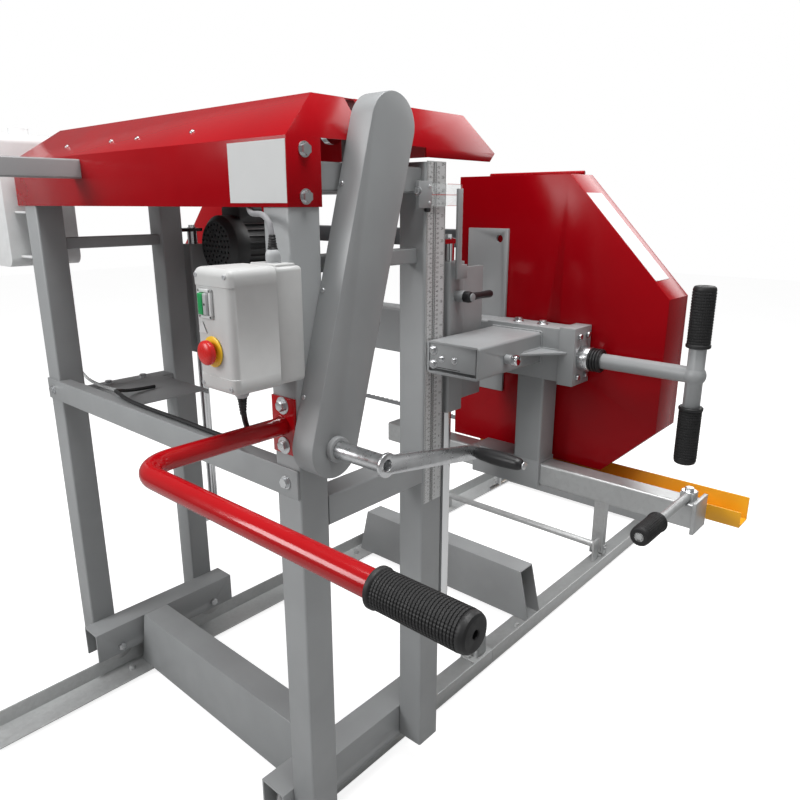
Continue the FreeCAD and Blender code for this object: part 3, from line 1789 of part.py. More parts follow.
def build_band_wheels():
    """The two band wheels: rim, web with five holes and hub; the driven one has its pulley."""
    over = "(hub_length - band_width) / 2"
    web = "(band_width - band_web) / 2"
    hub_web = f"{web}"
    for name, side in SIDES.items():
        section = (
            ("hub_axle_radius + hub_fit", f"-({over})"),
            ("hub_radius", f"-({over})"),
            ("hub_radius", hub_web),
            ("band_radius - band_rim", f"{web}"),
            ("band_radius - band_rim", 0),
            ("band_radius", 0),
            ("band_radius", "band_width"),
            ("band_radius - band_rim", "band_width"),
            ("band_radius - band_rim", f"{web} + band_web"),
            ("hub_radius", f"{web} + band_web"),
            ("hub_radius", f"band_width + {over}"),
            ("hub_axle_radius + hub_fit", f"band_width + {over}"),
        )
        across = f"{side} * wheel_across"
        blank = turned("Y", (across, BAND_FRONT, "spindle_up"), section)
        holes = [
            rod(
                "Y",
                (
                    f"{across} + spoke_hole_ring * {first}",
                    f"{BAND_FRONT} - overrun",
                    f"spindle_up + spoke_hole_ring * {second}",
                ),
                "spoke_hole_radius",
                "band_width + 2 * overrun",
            )
            for first, second in RING_SHARES
        ]
        wheel = cut(blank, *holes)
        if side > 0:
            node("idler_wheel", wheel)
        else:
            length = f"{BAND_FRONT} - ({over}) - pulley_place"
            bore = "hub_axle_radius + hub_fit"
            at = ("-wheel_across", "pulley_place", "spindle_up")
            node("drive_wheel", fuse(wheel, pipe("Y", at, "pulley_radius", bore, length)))


def build_blade():
    """The band blade round both wheels, with its teeth on the open lower run."""
    start, end = ("-wheel_across", "spindle_up"), ("wheel_across", "spindle_up")
    front = "band_place - blade_width / 2"
    inner = "band_radius + blade_gap"
    outer = oval("XZ", start, end, f"({inner} + blade_thick)", front, "blade_width")
    hollow = oval(
        "XZ", start, end, f"({inner})", f"{front} - overrun", "blade_width + 2 * overrun"
    )
    run = "(drive_cover_inner + cover_inner)"
    gullets = []
    for count in range(TEETH):
        start = f"-drive_cover_inner + {count} / {TEETH} * {run}"
        foot = (f"{start} + tooth_front_share / {TEETH} * {run}", f"tooth_floor_share / {TEETH} * {run}")
        crown = (
            f"{start} + tooth_land_share / {TEETH} * {run}",
            f"(1 - 2 * tooth_land_share) / {TEETH} * {run}",
        )
        low = (0, f"{front} + blade_width - tooth_depth", f"{BLADE_LOW} - overrun")
        gullets.append(wedge(low, ("tooth_depth + tooth_over", "blade_thick + 2 * overrun"), foot, crown))
    node("blade", cut(outer, hollow, *gullets))


def motor_fins():
    """The cooling ribs round the motor's body."""
    fins = []
    root = "(motor_radius - fin_sunk)"
    for count in range(FINS):
        turn = math.tau * (count + 0.5) / FINS
        across, up = math.cos(turn), math.sin(turn)
        fin = box(
            (0, 0, 0),
            (
                "motor_bell_radius - motor_radius + fin_sunk",
                "beam_front + beam_depth - motor_bell_length - motor_front - motor_cowl_length",
                "fin_thick",
            ),
        )
        spot = (
            f"motor_across + {root} * {across:.6f} + fin_thick / 2 * {up:.6f}",
            "motor_front + motor_cowl_length",
            f"motor_up + {root} * {up:.6f} - fin_thick / 2 * {across:.6f}",
        )
        fins.append(place(fin, spot, Rotation(Vector(0, 1, 0), -math.degrees(turn))))
    return fins


def build_motor():
    """The motor on the beam with its fan cowl, feet and terminal box, and the belt drive."""
    spot = ("motor_across", "motor_up")
    cowl = turned(
        "Y",
        (spot[0], "motor_front", spot[1]),
        (
            (0, 0),
            ("motor_cowl_radius - motor_cowl_round", 0),
            ("motor_cowl_radius", "motor_cowl_round"),
            ("motor_cowl_radius", "motor_cowl_length"),
            (0, "motor_cowl_length"),
        ),
    )
    back = "(beam_front + beam_depth)"
    body = rod(
        "Y",
        (spot[0], "motor_front + motor_cowl_length", spot[1]),
        "motor_radius",
        f"{back} - motor_bell_length - motor_front - motor_cowl_length",
    )
    bell_low = (spot[0], f"{back} - motor_bell_length", spot[1])
    bell = rod("Y", bell_low, "motor_bell_radius", "motor_bell_length")
    foot = box(
        ("motor_across - motor_foot_half", f"{back} - motor_foot_depth", "beam_top"),
        ("2 * motor_foot_half", "motor_foot_depth", "motor_up - motor_radius * foot_share - beam_top"),
    )
    terminal = soft_block(
        "Y",
        (
            "motor_across - motor_box_half",
            "motor_front + motor_box_start",
            "motor_up + motor_radius * foot_share",
        ),
        (
            "2 * motor_box_half",
            "motor_box_depth",
            "motor_radius * (1 - foot_share) + motor_box_rise",
        ),
        "motor_box_corner",
    )
    holes = [rod("Y", (spot[0], "motor_front - overrun", spot[1]), "grille_hole", "grille_deep + overrun")]
    for ring, count in GRILLE_RINGS:
        for number_in_ring in range(count):
            turn = math.tau * number_in_ring / count
            at = (
                f"motor_across + {ring} * grille_pitch * {math.cos(turn):.6f}",
                "motor_front - overrun",
                f"motor_up + {ring} * grille_pitch * {math.sin(turn):.6f}",
            )
            holes.append(rod("Y", at, "grille_hole", "grille_deep + overrun"))
    node("motor", fuse(cut(cowl, *holes), body, bell, foot, terminal, *motor_fins()))
    shaft = rod(
        "Y",
        (spot[0], f"{back} + wheel_gap", spot[1]),
        "motor_shaft_radius",
        f"pulley_place + pulley_width + pulley_over - {back} - wheel_gap",
    )
    pulley = rod("Y", (spot[0], "pulley_place", spot[1]), "pulley_radius", "pulley_width")
    node("motor_pulley", fuse(shaft, pulley))
    start, end = ("-wheel_across", "spindle_up"), spot
    front = "pulley_place + pulley_width / 2 - belt_width / 2"
    inner = "pulley_radius + belt_gap"
    outer = oval("XZ", start, end, f"({inner} + belt_thick)", front, "belt_width")
    hollow = oval("XZ", start, end, f"({inner})", f"{front} - overrun", "belt_width + 2 * overrun")
    node("drive_belt", cut(outer, hollow))


def cover_points(side, inner, drawn):
    """The outline of a band wheel cover, drawn in by a distance."""
    near = f"{side} * ({inner} + {drawn})"
    bevel = f"{drawn} * bevel_share"
    return [
        (near, f"cover_top - {drawn}"),
        (f"{side} * (cover_top_corner - {bevel})", f"cover_top - {drawn}"),
        (f"{side} * (cover_outer - {drawn})", f"cover_shoulder - {bevel}"),
        (f"{side} * (cover_outer - {drawn})", f"cover_hip + {bevel}"),
        (f"{side} * (cover_bottom_corner - {bevel})", f"cover_bottom + {drawn}"),
        (near, f"cover_bottom + {drawn}"),
    ]


def build_covers():
    """The sheet covers of the band wheels and their doors."""
    for name, side in SIDES.items():
        inner = "cover_inner" if side > 0 else "drive_cover_inner"
        outer = cover_points(side, inner, "0")
        shell = padded("XZ", outer, "cover_depth", (0, COVER_BACK, 0))
        hollow = padded(
            "XZ", cover_points(side, inner, "cover_sheet"), "cover_depth", (0, f"{COVER_BACK} + cover_sheet", 0)
        )
        low = span(side, f"{inner} - overrun", "cover_sheet + 2 * overrun")
        tools = [hollow]
        for up in (BLADE_LOW, "spindle_up + band_radius"):
            tools.append(
                box(
                    (low, "band_place - blade_width / 2 - slot_gap", f"{up} - slot_height / 2"),
                    ("cover_sheet + 2 * overrun", "blade_width + 2 * slot_gap", "slot_height"),
                )
            )
        hole_at = "cover_front - overrun"
        thick = "cover_sheet + 2 * overrun"
        if side > 0:
            tools.append(
                oval(
                    "XZ",
                    ("wheel_across - slide_travel", "spindle_up"),
                    ("wheel_across", "spindle_up"),
                    "(hub_axle_radius + slot_gap)",
                    hole_at,
                    thick,
                )
            )
        else:
            for spot, bore in (
                (("-wheel_across", hole_at, "spindle_up"), "hub_axle_radius"),
                (("motor_across", hole_at, "motor_up"), "motor_shaft_radius"),
            ):
                tools.append(rod("Y", spot, f"{bore} + slot_gap", thick))
        node(f"cover_{name}", cut(shell, *tools))
        door = padded("XZ", outer, "door_thick", (0, f"{COVER_BACK} + door_gap + door_thick", 0))
        barrel_length = f"cover_top_corner - {inner} - 2 * door_hinge_inset"
        barrel_low = span(side, f"{inner} + door_hinge_inset", barrel_length)
        barrel_up = "cover_top + door_gap + door_hinge_radius"
        barrel = rod(
            "X",
            (barrel_low, f"{COVER_BACK} + door_gap + door_thick / 2", barrel_up),
            "door_hinge_radius",
            barrel_length,
        )
        leaf = box(
            (barrel_low, f"{COVER_BACK} + door_gap", "cover_top - door_lap"),
            (barrel_length, "door_thick", "door_lap + door_gap + door_hinge_radius"),
        )
        node(f"door_{name}", fuse(door, barrel, leaf))
    front = "top_cover_front"
    low = "-drive_cover_inner + top_cover_gap"
    length = "cover_inner + drive_cover_inner - 2 * top_cover_gap"
    outer = box((low, front, "top_cover_low"), (length, "top_cover_depth", "top_cover_rise"))
    hollow = box(
        (f"{low} - overrun", f"{front} + top_cover_sheet", "top_cover_low - overrun"),
        (
            f"{length} + 2 * overrun",
            "top_cover_depth - 2 * top_cover_sheet",
            "top_cover_rise - top_cover_sheet + overrun",
        ),
    )
    node("blade_cover", cut(outer, hollow))


def build_index_arm():
    """The box arm beside the right far post, with its end bolt and roller."""
    length = "beam_front - index_front"
    arm = square_tube(
        "Y",
        ("index_left", "index_front", "index_bottom"),
        ("index_width", length, "index_height"),
        "index_wall",
    )
    right = "index_left + index_width"
    hole = rod(
        "X",
        (f"{right} - index_wall - overrun", "plunger_along", "plunger_up"),
        "plunger_radius + plunger_fit",
        "index_wall + 2 * overrun",
    )
    along = "index_front + index_bolt_inset"
    middle = "index_bottom + index_height / 2"
    shank_low = ("index_left + index_wall", along, middle)
    shank = rod("X", shank_low, "index_bolt_radius", "index_width - 2 * index_wall")
    roller = pipe(
        "X",
        ("index_left + index_wall + index_roller_gap", along, middle),
        "index_roller_radius",
        "index_bolt_radius + shaft_fit",
        "index_width - 2 * index_wall - 2 * index_roller_gap",
    )
    head = bolt("X", (right, along, middle))
    collar = pipe(
        "X",
        (right, "plunger_along", "plunger_up"),
        "plunger_sleeve",
        "plunger_radius + plunger_fit",
        "plunger_sleeve_length",
    )
    under = hexagon(
        "Z",
        ("index_left + index_width / 2", "plunger_along", "index_bottom - bolt_head_thick"),
        "bolt_head_radius",
        "bolt_head_thick",
    )
    node("index_arm", group(cut(arm, hole), shank, roller, head, collar, under))
    pin = rod(
        "X",
        (f"{right} - index_wall - plunger_tip", "plunger_along", "plunger_up"),
        "plunger_radius",
        "plunger_tip + index_wall + plunger_sleeve_length + plunger_gap",
    )
    knob = rod(
        "X",
        (f"{right} + plunger_sleeve_length + plunger_gap", "plunger_along", "plunger_up"),
        "plunger_knob",
        "plunger_knob_length",
    )
    node("index_plunger", fuse(pin, knob))


def build_lock():
    """The lock lever on its boss at the right sleeve, and the height pointer on its stem."""
    face = "post_across + sleeve_side / 2"
    spot = ("column_along", "lock_up")
    boss = rod("X", (face, *spot), "lock_boss_radius", "lock_boss_length")
    pin = rod(
        "X",
        (f"{face} + lock_boss_length", *spot),
        "lock_pin_radius",
        "lock_hub_length + 2 * lock_gap",
    )
    cap = rod(
        "X",
        (f"{face} + lock_boss_length + lock_hub_length + 2 * lock_gap", *spot),
        "lock_pin_radius + lock_cap_over",
        "lock_cap_thick",
    )
    foot = box(
        (face, "column_along - stem_width / 2", "stem_foot"),
        ("stem_over + stem_thick", "stem_width", "stem_foot_height"),
    )
    stem_front = "pointer_back - stem_width"
    stem = box(
        (f"{face} + stem_over", stem_front, "stem_foot"),
        ("stem_thick", f"column_along + stem_width / 2 - ({stem_front})", "stem_foot_height"),
    )
    rise = box(
        (f"{face} + stem_over", stem_front, "stem_foot"),
        ("stem_thick", "stem_width", "pointer_up + pointer_height - stem_foot"),
    )
    slab = box(
        (f"{face} + stem_over - pointer_seat - pointer_thick", "pointer_front", "pointer_up"),
        ("pointer_thick", "pointer_back - pointer_front", "pointer_height"),
    )
    node("head_fittings", group(fuse(boss, pin, cap), fuse(foot, stem, rise), slab))
    hub_low = f"{face} + lock_boss_length + lock_gap"
    hub = rod("X", (hub_low, *spot), "lock_hub_radius", "lock_hub_length")
    middle = f"{hub_low} + lock_hub_length / 2"
    arm = rod("Y", (middle, "column_along", "lock_up"), "lock_arm_radius", "lock_arm_length")
    knob = ball((middle, "column_along + lock_arm_length", "lock_up"), "lock_knob_radius")
    hole = rod(
        "X", (f"{hub_low} - overrun", *spot), "lock_pin_radius + lock_fit",
        "lock_hub_length + 2 * overrun",
    )
    node("lock_lever", cut(fuse(hub, arm, knob), hole))


def build_guide():
    """The blade guide: its post and sleeve, the sliding beam, the clamp and the yellow guard."""
    top = "guide_up + guide_sleeve_side / 2"
    post = square_tube(
        "Z",
        ("guide_post_left", "beam_front", top),
        ("guide_post_width", "beam_depth", f"beam_bottom - ({top})"),
        "guide_post_wall",
    )
    hollow_side = "(guide_side + 2 * guide_gap)"
    sleeve = box(
        (
            "guide_sleeve_left",
            "guide_along - guide_sleeve_side / 2",
            "guide_up - guide_sleeve_side / 2",
        ),
        ("guide_sleeve_width", "guide_sleeve_side", "guide_sleeve_side"),
    )
    hollow = box(
        (
            "guide_sleeve_left - overrun",
            f"guide_along - {hollow_side} / 2",
            f"guide_up - {hollow_side} / 2",
        ),
        ("guide_sleeve_width + 2 * overrun", hollow_side, hollow_side),
    )
    low = "guide_up - guide_sleeve_side / 2"
    hole = rod(
        "Z",
        ("clamp_across", "guide_along", f"{low} - overrun"),
        "clamp_radius + clamp_fit",
        "guide_sleeve_side / 2",
    )
    node("guide_holder", group(post, cut(sleeve, hollow, hole)))
    beam_low = ("guide_left", "guide_along - guide_side / 2", "guide_up - guide_side / 2")
    beam = square_tube(
        "X", beam_low, ("guide_right - guide_left", "guide_side", "guide_side"), "guide_wall"
    )
    cap = box(
        ("guide_right", "guide_along - guide_sleeve_side / 2", low),
        ("guide_cap_thick", "guide_sleeve_side", "guide_sleeve_side"),
    )
    back = "(guide_along + guide_side / 2)"
    bracket = box(
        ("guide_left", back, "guide_up - guide_bracket_foot"),
        ("guide_bracket_width", "guide_bracket_depth", "guide_bracket_rise + guide_bracket_foot"),
    )
    roller_up = f"{BLADE_LOW} + blade_thick + wheel_gap + guide_roller_radius"
    middle = "guide_left + guide_bracket_width / 2"
    blade_front = "band_place - blade_width / 2"
    axle = rod(
        "Y",
        (middle, f"{back} + guide_bracket_depth", roller_up),
        "guide_roller_axle",
        f"{blade_front} + guide_roller_width - {back} - guide_bracket_depth",
    )
    roller = rod("Y", (middle, blade_front, roller_up), "guide_roller_radius", "guide_roller_width")
    flange = rod(
        "Y",
        (middle, f"{blade_front} - roller_flange_thick - wheel_gap", roller_up),
        "guide_roller_flange",
        "roller_flange_thick",
    )
    stem_up = "guide_up + guide_side / 2 + guide_stem_radius"
    stem = rod(
        "Y",
        ("guide_stem_across", "guide_stem_end - guide_grip_length", stem_up),
        "guide_stem_radius",
        "guide_along - guide_stem_end + guide_grip_length",
    )
    lug = box(
        (
            "guide_stem_across - guide_lug_side / 2",
            "guide_along - guide_lug_side / 2",
            "guide_up + guide_side / 2",
        ),
        ("guide_lug_side", "guide_lug_side", "2 * guide_stem_radius"),
    )
    lug_bolt = bolt(
        "Z", ("guide_stem_across", "guide_along", "guide_up + guide_side / 2 + 2 * guide_stem_radius")
    )
    tab = box(
        ("guard_tab_across", back, "guard_floor"),
        ("guard_tab_width", f"guard_front - ({back})", "guard_front_rise"),
    )
    roller_set = fuse(axle, roller, flange)
    node("guide_beam", group(beam, cap, bracket, tab, roller_set, fuse(stem, lug), lug_bolt))
    section = grip_section(
        "guide_stem_radius + shaft_fit", "guide_grip_radius", "guide_grip_length", "grip_flare", 8
    )
    grip_end = ("guide_stem_across", "guide_stem_end - guide_grip_length", stem_up)
    node("guide_grip", turned("Y", grip_end, section))
    right = "guard_front + guard_width"
    trough = padded(
        "YZ",
        (
            ("guard_front", "guard_floor + guard_front_rise"),
            ("guard_front", "guard_floor"),
            (right, "guard_floor"),
            (right, "guard_floor + guard_back_rise"),
            (f"{right} - guard_sheet", "guard_floor + guard_back_rise"),
            (f"{right} - guard_sheet", "guard_floor + guard_sheet"),
            ("guard_front + guard_sheet", "guard_floor + guard_sheet"),
            ("guard_front + guard_sheet", "guard_floor + guard_front_rise"),
        ),
        "guard_right - guard_left",
        ("guard_left", 0, 0),
    )
    node("blade_guard", trough)
    screw = rod(
        "Z",
        ("clamp_across", "guide_along", f"guide_up - guide_side / 2 - slide_gap - clamp_length"),
        "clamp_radius",
        "clamp_length",
    )
    bar = rod(
        "Y",
        (
            "clamp_across",
            "guide_along - clamp_bar_length / 2",
            "guide_up - guide_side / 2 - slide_gap - clamp_length",
        ),
        "clamp_bar_radius",
        "clamp_bar_length",
    )
    node("guide_clamp", fuse(screw, bar))


def build_ruler():
    """The height scale on the right far post."""
    node(
        "height_scale",
        box(
            (POST_OUT, f"{BAY} + ruler_inset", "ruler_bottom"),
            ("ruler_thick", "ruler_width", "ruler_top - ruler_bottom"),
        ),
    )


def build_bolts():
    """The hexagon bolts of the frame."""
    items = []
    for side in SIDES.values():
        items.append(
            bolt(
                "Y",
                (
                    f"{side} * post_across",
                    f"-{FRONT} - front_bar_thick",
                    "front_bar_top - front_bar_height / 2",
                ),
                -1,
            )
        )
    for up in ("hood_fold - hood_bolt_inset", "hood_fold - hood_bolt_inset - hood_bolt_pitch"):
        items.append(bolt("X", (HOOD_RIGHT, "-post_along", up)))
    for along in ("-beam_bolt_reach", "beam_bolt_reach"):
        items.append(
            bolt("Z", (f"-{POST_OUT} + side_beam_depth / 2", along, "side_beam_left_top"))
        )
    node("frame_bolts", group(*items))


def build_cords():
    """The cables and the hose, each a tube of straight runs and tangent arcs."""
    node("motor_cable", cord(MOTOR_CABLE, SIZES["motor_cable_radius"]))
    node("supply_cable", cord(SUPPLY_CABLE, SIZES["supply_cable_radius"]))
    node("lube_hose", cord(LUBE_HOSE, SIZES["hose_radius"]))


def build_all():
    """Build every sub-part."""
    build_rails()
    build_bunks()
    build_track_fittings()
    build_log_stop()
    build_posts()
    build_wheels()
    build_frame()
    build_columns()
    build_hood()
    build_arm()
    build_tank()
    build_case()
    build_crank()
    build_lift_shaft()
    build_switch_box()
    build_push_handle()
    build_sleeves()
    build_head_beam()
    build_tension_block()
    build_idler()
    build_tee()
    build_band_wheels()
    build_blade()
    build_motor()
    build_covers()
    build_index_arm()
    build_lock()
    build_guide()
    build_ruler()
    build_bolts()
    build_cords()


def check_document():
    """Stop if any object failed or any sub-part is not a sound shape."""
    for item in DOC.Objects:
        wrong = [word for word in item.State if word in ("Invalid", "Error")]
        if wrong:
            raise RuntimeError(f"{item.Name} ({item.Label}): {wrong}")
    for name, item in NODES.items():
        if item.Shape.isNull() or not item.Shape.isValid():
            raise RuntimeError(f"{name} has no sound shape")


def write_parts():
    """Write each sub-part to its own file."""
    os.makedirs("parts", exist_ok=True)
    for name, item in NODES.items():
        item.Shape.exportStep(f"parts/{name}.step")
        solids = len(item.Shape.Solids)
        limits = item.Shape.BoundBox
        print(
            f"{name:18s} solids {solids:3d} volume {item.Shape.Volume / 1000:10.1f} cm3"
            f" X {limits.XMin:7.1f} {limits.XMax:7.1f}"
            f" Y {limits.YMin:7.1f} {limits.YMax:7.1f}"
            f" Z {limits.ZMin:7.1f} {limits.ZMax:7.1f}"
        )


fill_sheet(GROUPS)
build_all()
DOC.recompute()
check_document()
write_parts()
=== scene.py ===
"""Portable band sawmill: the finishes and the visible detail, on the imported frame."""

from __future__ import annotations

import json
import logging
import math
import random
from collections.abc import Callable, Iterator
from contextlib import contextmanager
from dataclasses import dataclass, field
from enum import Enum

import bmesh
import bpy
from mathutils import Matrix, Quaternion, Vector

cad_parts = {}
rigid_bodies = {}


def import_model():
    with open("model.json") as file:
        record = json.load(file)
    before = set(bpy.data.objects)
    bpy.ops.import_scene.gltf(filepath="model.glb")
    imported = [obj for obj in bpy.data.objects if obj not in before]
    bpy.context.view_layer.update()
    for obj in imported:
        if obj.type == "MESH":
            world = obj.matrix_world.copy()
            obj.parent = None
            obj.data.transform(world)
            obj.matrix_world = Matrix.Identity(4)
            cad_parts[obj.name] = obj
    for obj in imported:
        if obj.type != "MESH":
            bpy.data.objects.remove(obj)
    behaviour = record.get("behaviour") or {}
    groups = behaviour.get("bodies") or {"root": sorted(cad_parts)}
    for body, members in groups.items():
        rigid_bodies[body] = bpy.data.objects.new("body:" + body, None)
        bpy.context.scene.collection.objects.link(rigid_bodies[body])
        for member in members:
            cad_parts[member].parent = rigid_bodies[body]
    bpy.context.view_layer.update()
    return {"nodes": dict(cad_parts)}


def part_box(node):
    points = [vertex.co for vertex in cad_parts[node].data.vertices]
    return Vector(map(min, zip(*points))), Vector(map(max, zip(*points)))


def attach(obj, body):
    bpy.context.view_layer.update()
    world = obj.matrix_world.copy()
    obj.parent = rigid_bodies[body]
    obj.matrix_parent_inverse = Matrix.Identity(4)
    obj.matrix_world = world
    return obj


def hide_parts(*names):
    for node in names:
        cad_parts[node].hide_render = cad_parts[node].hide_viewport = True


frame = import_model()

LOG = logging.getLogger("sawmill")
Point = tuple[float, float, float]
Profile = list[tuple[float, float]]
Piece = bpy.types.Object
Socket = bpy.types.NodeSocket
X, Y, Z = (Vector(row) for row in ((1, 0, 0), (0, 1, 0), (0, 0, 1)))
AXES: dict[str, Vector] = {"X": X, "Y": Y, "Z": Z}
# Corners that are closer than this are one: in a CAD mesh, and in a turned piece.
WELD_GAP = 0.000002
SPIN_GAP = 0.000004


# ---------------------------------------------------------------- finishes


def put(node: bpy.types.Node, **values: object) -> bpy.types.Node:
    """Put constants on a node's own sockets.

    Args:
        node: the node.
        values: socket names with underscores for spaces, and their values.

    Returns:
        The same node.
    """
    for name, value in values.items():
        node.inputs[name.replace("_", " ")].default_value = value
    return node


class Tree:
    """The node tree of one material, with the links that the finishes share."""

    def __init__(self, name: str) -> None:
        """Start a material of that name."""
        self.material = bpy.data.materials.new(name)
        self.material.use_nodes = True
        self.tree = self.material.node_tree
        self.shader = self.tree.nodes["Principled BSDF"]

    def add(self, kind: str, **values: object) -> bpy.types.Node:
        """Add a shader node of a kind, with constants on its sockets."""
        return put(self.tree.nodes.new("ShaderNode" + kind), **values)

    def join(self, start: Socket, end: Socket) -> None:
        """Link two sockets."""
        self.tree.links.new(start, end)

    def where(self, stretch: Point = (1, 1, 1)) -> Socket:
        """The piece's own coordinates, stretched by a factor for each axis."""
        mapping = self.add("Mapping", Scale=stretch)
        self.join(self.add("TexCoord").outputs["Object"], mapping.inputs["Vector"])
        return mapping.outputs["Vector"]

    def noise(self, size: float, detail: float, stretch: Point = (1, 1, 1)) -> Socket:
        """A cloud pattern.

        Args:
            size: how large its clouds are, in metres.
            detail: how many finer clouds it holds.
            stretch: a factor for each axis.

        Returns:
            The value socket.
        """
        texture = self.add("TexNoise", Scale=1 / size, Detail=detail)
        self.join(self.where(stretch), texture.inputs["Vector"])
        return texture.outputs["Fac"]

    def cells(self, size: float) -> Socket:
        """A pattern of crystals of that size, each of one random tone."""
        texture = self.add("TexVoronoi", Scale=1 / size)
        self.join(self.where(), texture.inputs["Vector"])
        return texture.outputs["Color"]

    def tones(
        self, driver: Socket, dark: Point, light: Point, low: float = 0.35, high: float = 0.65
    ) -> None:
        """Colour the shader between two tones.

        Args:
            driver: the pattern's value.
            dark: the tone at its low end.
            light: the tone at its high end.
            low: where the dark tone ends.
            high: where the light tone starts.
        """
        ramp = self.add("ValToRGB")
        for stop, place, tone in zip(ramp.color_ramp.elements, (low, high), (dark, light)):
            stop.position = place
            stop.color = (*tone, 1)
        self.join(driver, ramp.inputs["Fac"])
        self.join(ramp.outputs["Color"], self.shader.inputs["Base Color"])

    def roughen(self, driver: Socket, low: float, high: float) -> None:
        """Let the roughness follow a pattern, from low to high."""
        spread = self.add("MapRange", From_Min=0.3, From_Max=0.7, To_Min=low, To_Max=high)
        self.join(driver, spread.inputs["Value"])
        self.join(spread.outputs["Result"], self.shader.inputs["Roughness"])

    def relief(self, driver: Socket, depth: float) -> None:
        """Raise the surface by a pattern, to a height in metres."""
        bump = self.add("Bump", Strength=1.0, Distance=depth)
        self.join(driver, bump.inputs["Height"])
        self.join(bump.outputs["Normal"], self.shader.inputs["Normal"])


def shade_of(colour: Point, factor: float) -> Point:
    """A colour made darker or lighter by a factor."""
    return tuple(min(1.0, part * factor) for part in colour)


@dataclass(frozen=True)
class Coat:
    """What finishes share: the material's name, the record's slot and the colour."""

    name: str
    slot: str
    colour: Point


@dataclass(frozen=True)
class Layered(Coat):
    """A finish with clouds of tone, a changing gloss and a fine relief."""

    smooth: float
    dull: float

    def layers(
        self,
        patterns: tuple[tuple[float, float], ...],
        span: tuple[float, float],
        depth: float,
        grain: Point = (1, 1, 1),
    ) -> Tree:
        """Lay the three patterns on a new material.

        Args:
            patterns: size and detail of the tone's, the gloss's and the relief's clouds.
            span: the factors of the darkest and the lightest tone.
            depth: the relief's height in metres.
            grain: how the patterns are stretched.

        Returns:
            The tree of the material.
        """
        tone, gloss, skin = patterns
        tree = Tree(self.name)
        dark, light = (shade_of(self.colour, factor) for factor in span)
        tree.tones(tree.noise(*tone, grain), dark, light)
        tree.roughen(tree.noise(*gloss, grain), self.smooth, self.dull)
        tree.relief(tree.noise(*skin, grain), depth)
        return tree


@dataclass(frozen=True)
class Painted(Layered):
    """Paint or powder coat: soft clouds of tone and a fine orange peel."""

    spread: float = 0.06
    peel: float = 0.0028
    depth: float = 0.000025
    coat: float = 0.0
    shine: float = 0.5

    def make(self) -> bpy.types.Material:
        """Build the material."""
        patterns = ((0.16, 4.0), (0.05, 5.0), (self.peel, 2.0))
        tree = self.layers(patterns, (1 - self.spread, 1 + self.spread), self.depth)
        put(
            tree.shader, Coat_Weight=self.coat, Coat_Roughness=0.08, Specular_IOR_Level=self.shine
        )
        return tree.material


@dataclass(frozen=True)
class Metal(Layered):
    """Bare or plated metal with a drawn or turned grain."""

    grain: Point = (1, 1, 1)
    size: float = 0.0018
    depth: float = 0.000002

    def make(self) -> bpy.types.Material:
        """Build the material."""
        patterns = ((0.03, 5.0), (0.012, 4.0), (self.size, 3.0))
        tree = self.layers(patterns, (0.94, 1.05), self.depth, self.grain)
        put(tree.shader, Metallic=1.0)
        return tree.material


@dataclass(frozen=True)
class Moulded(Layered):
    """Rubber or plastic from a mould, with a fine spark-worn skin."""

    skin: float = 0.0012
    depth: float = 0.00003
    spread: float = 0.05

    def make(self) -> bpy.types.Material:
        """Build the material."""
        patterns = ((0.03, 4.0), (0.01, 4.0), (self.skin, 2.0))
        span = (1 - self.spread, 1 + self.spread)
        return self.layers(patterns, span, self.depth).material


@dataclass(frozen=True)
class Galvanised(Coat):
    """Hot-dip zinc: a spangle of crystals under a dull bloom."""

    crystal: float

    def make(self) -> bpy.types.Material:
        """Build the material."""
        tree = Tree(self.name)
        mixed = tree.add("Mix")
        mixed.data_type = "RGBA"
        put(mixed, Factor=0.45)
        tree.join(tree.cells(self.crystal), mixed.inputs["A"])
        tree.join(tree.noise(0.04, 4.0), mixed.inputs["B"])
        grey = tree.add("RGBToBW")
        tree.join(mixed.outputs["Result"], grey.inputs["Color"])
        dark, light = shade_of(self.colour, 0.93), shade_of(self.colour, 1.05)
        tree.tones(grey.outputs["Val"], dark, light, 0.25, 0.75)
        tree.roughen(grey.outputs["Val"], 0.38, 0.5)
        tree.relief(tree.noise(0.003, 3.0), 0.00002)
        put(tree.shader, Metallic=0.6)
        return tree.material


@dataclass(frozen=True)
class Clear(Coat):
    """Clear or milky plastic that light passes through."""

    roughness: float
    passing: float

    def make(self) -> bpy.types.Material:
        """Build the material."""
        tree = Tree(self.name)
        tree.tones(tree.noise(0.02, 3.0), shade_of(self.colour, 0.96), self.colour)
        tree.relief(tree.noise(0.006, 2.0), 0.00002)
        put(tree.shader, Roughness=self.roughness, IOR=1.46, Transmission_Weight=self.passing)
        return tree.material


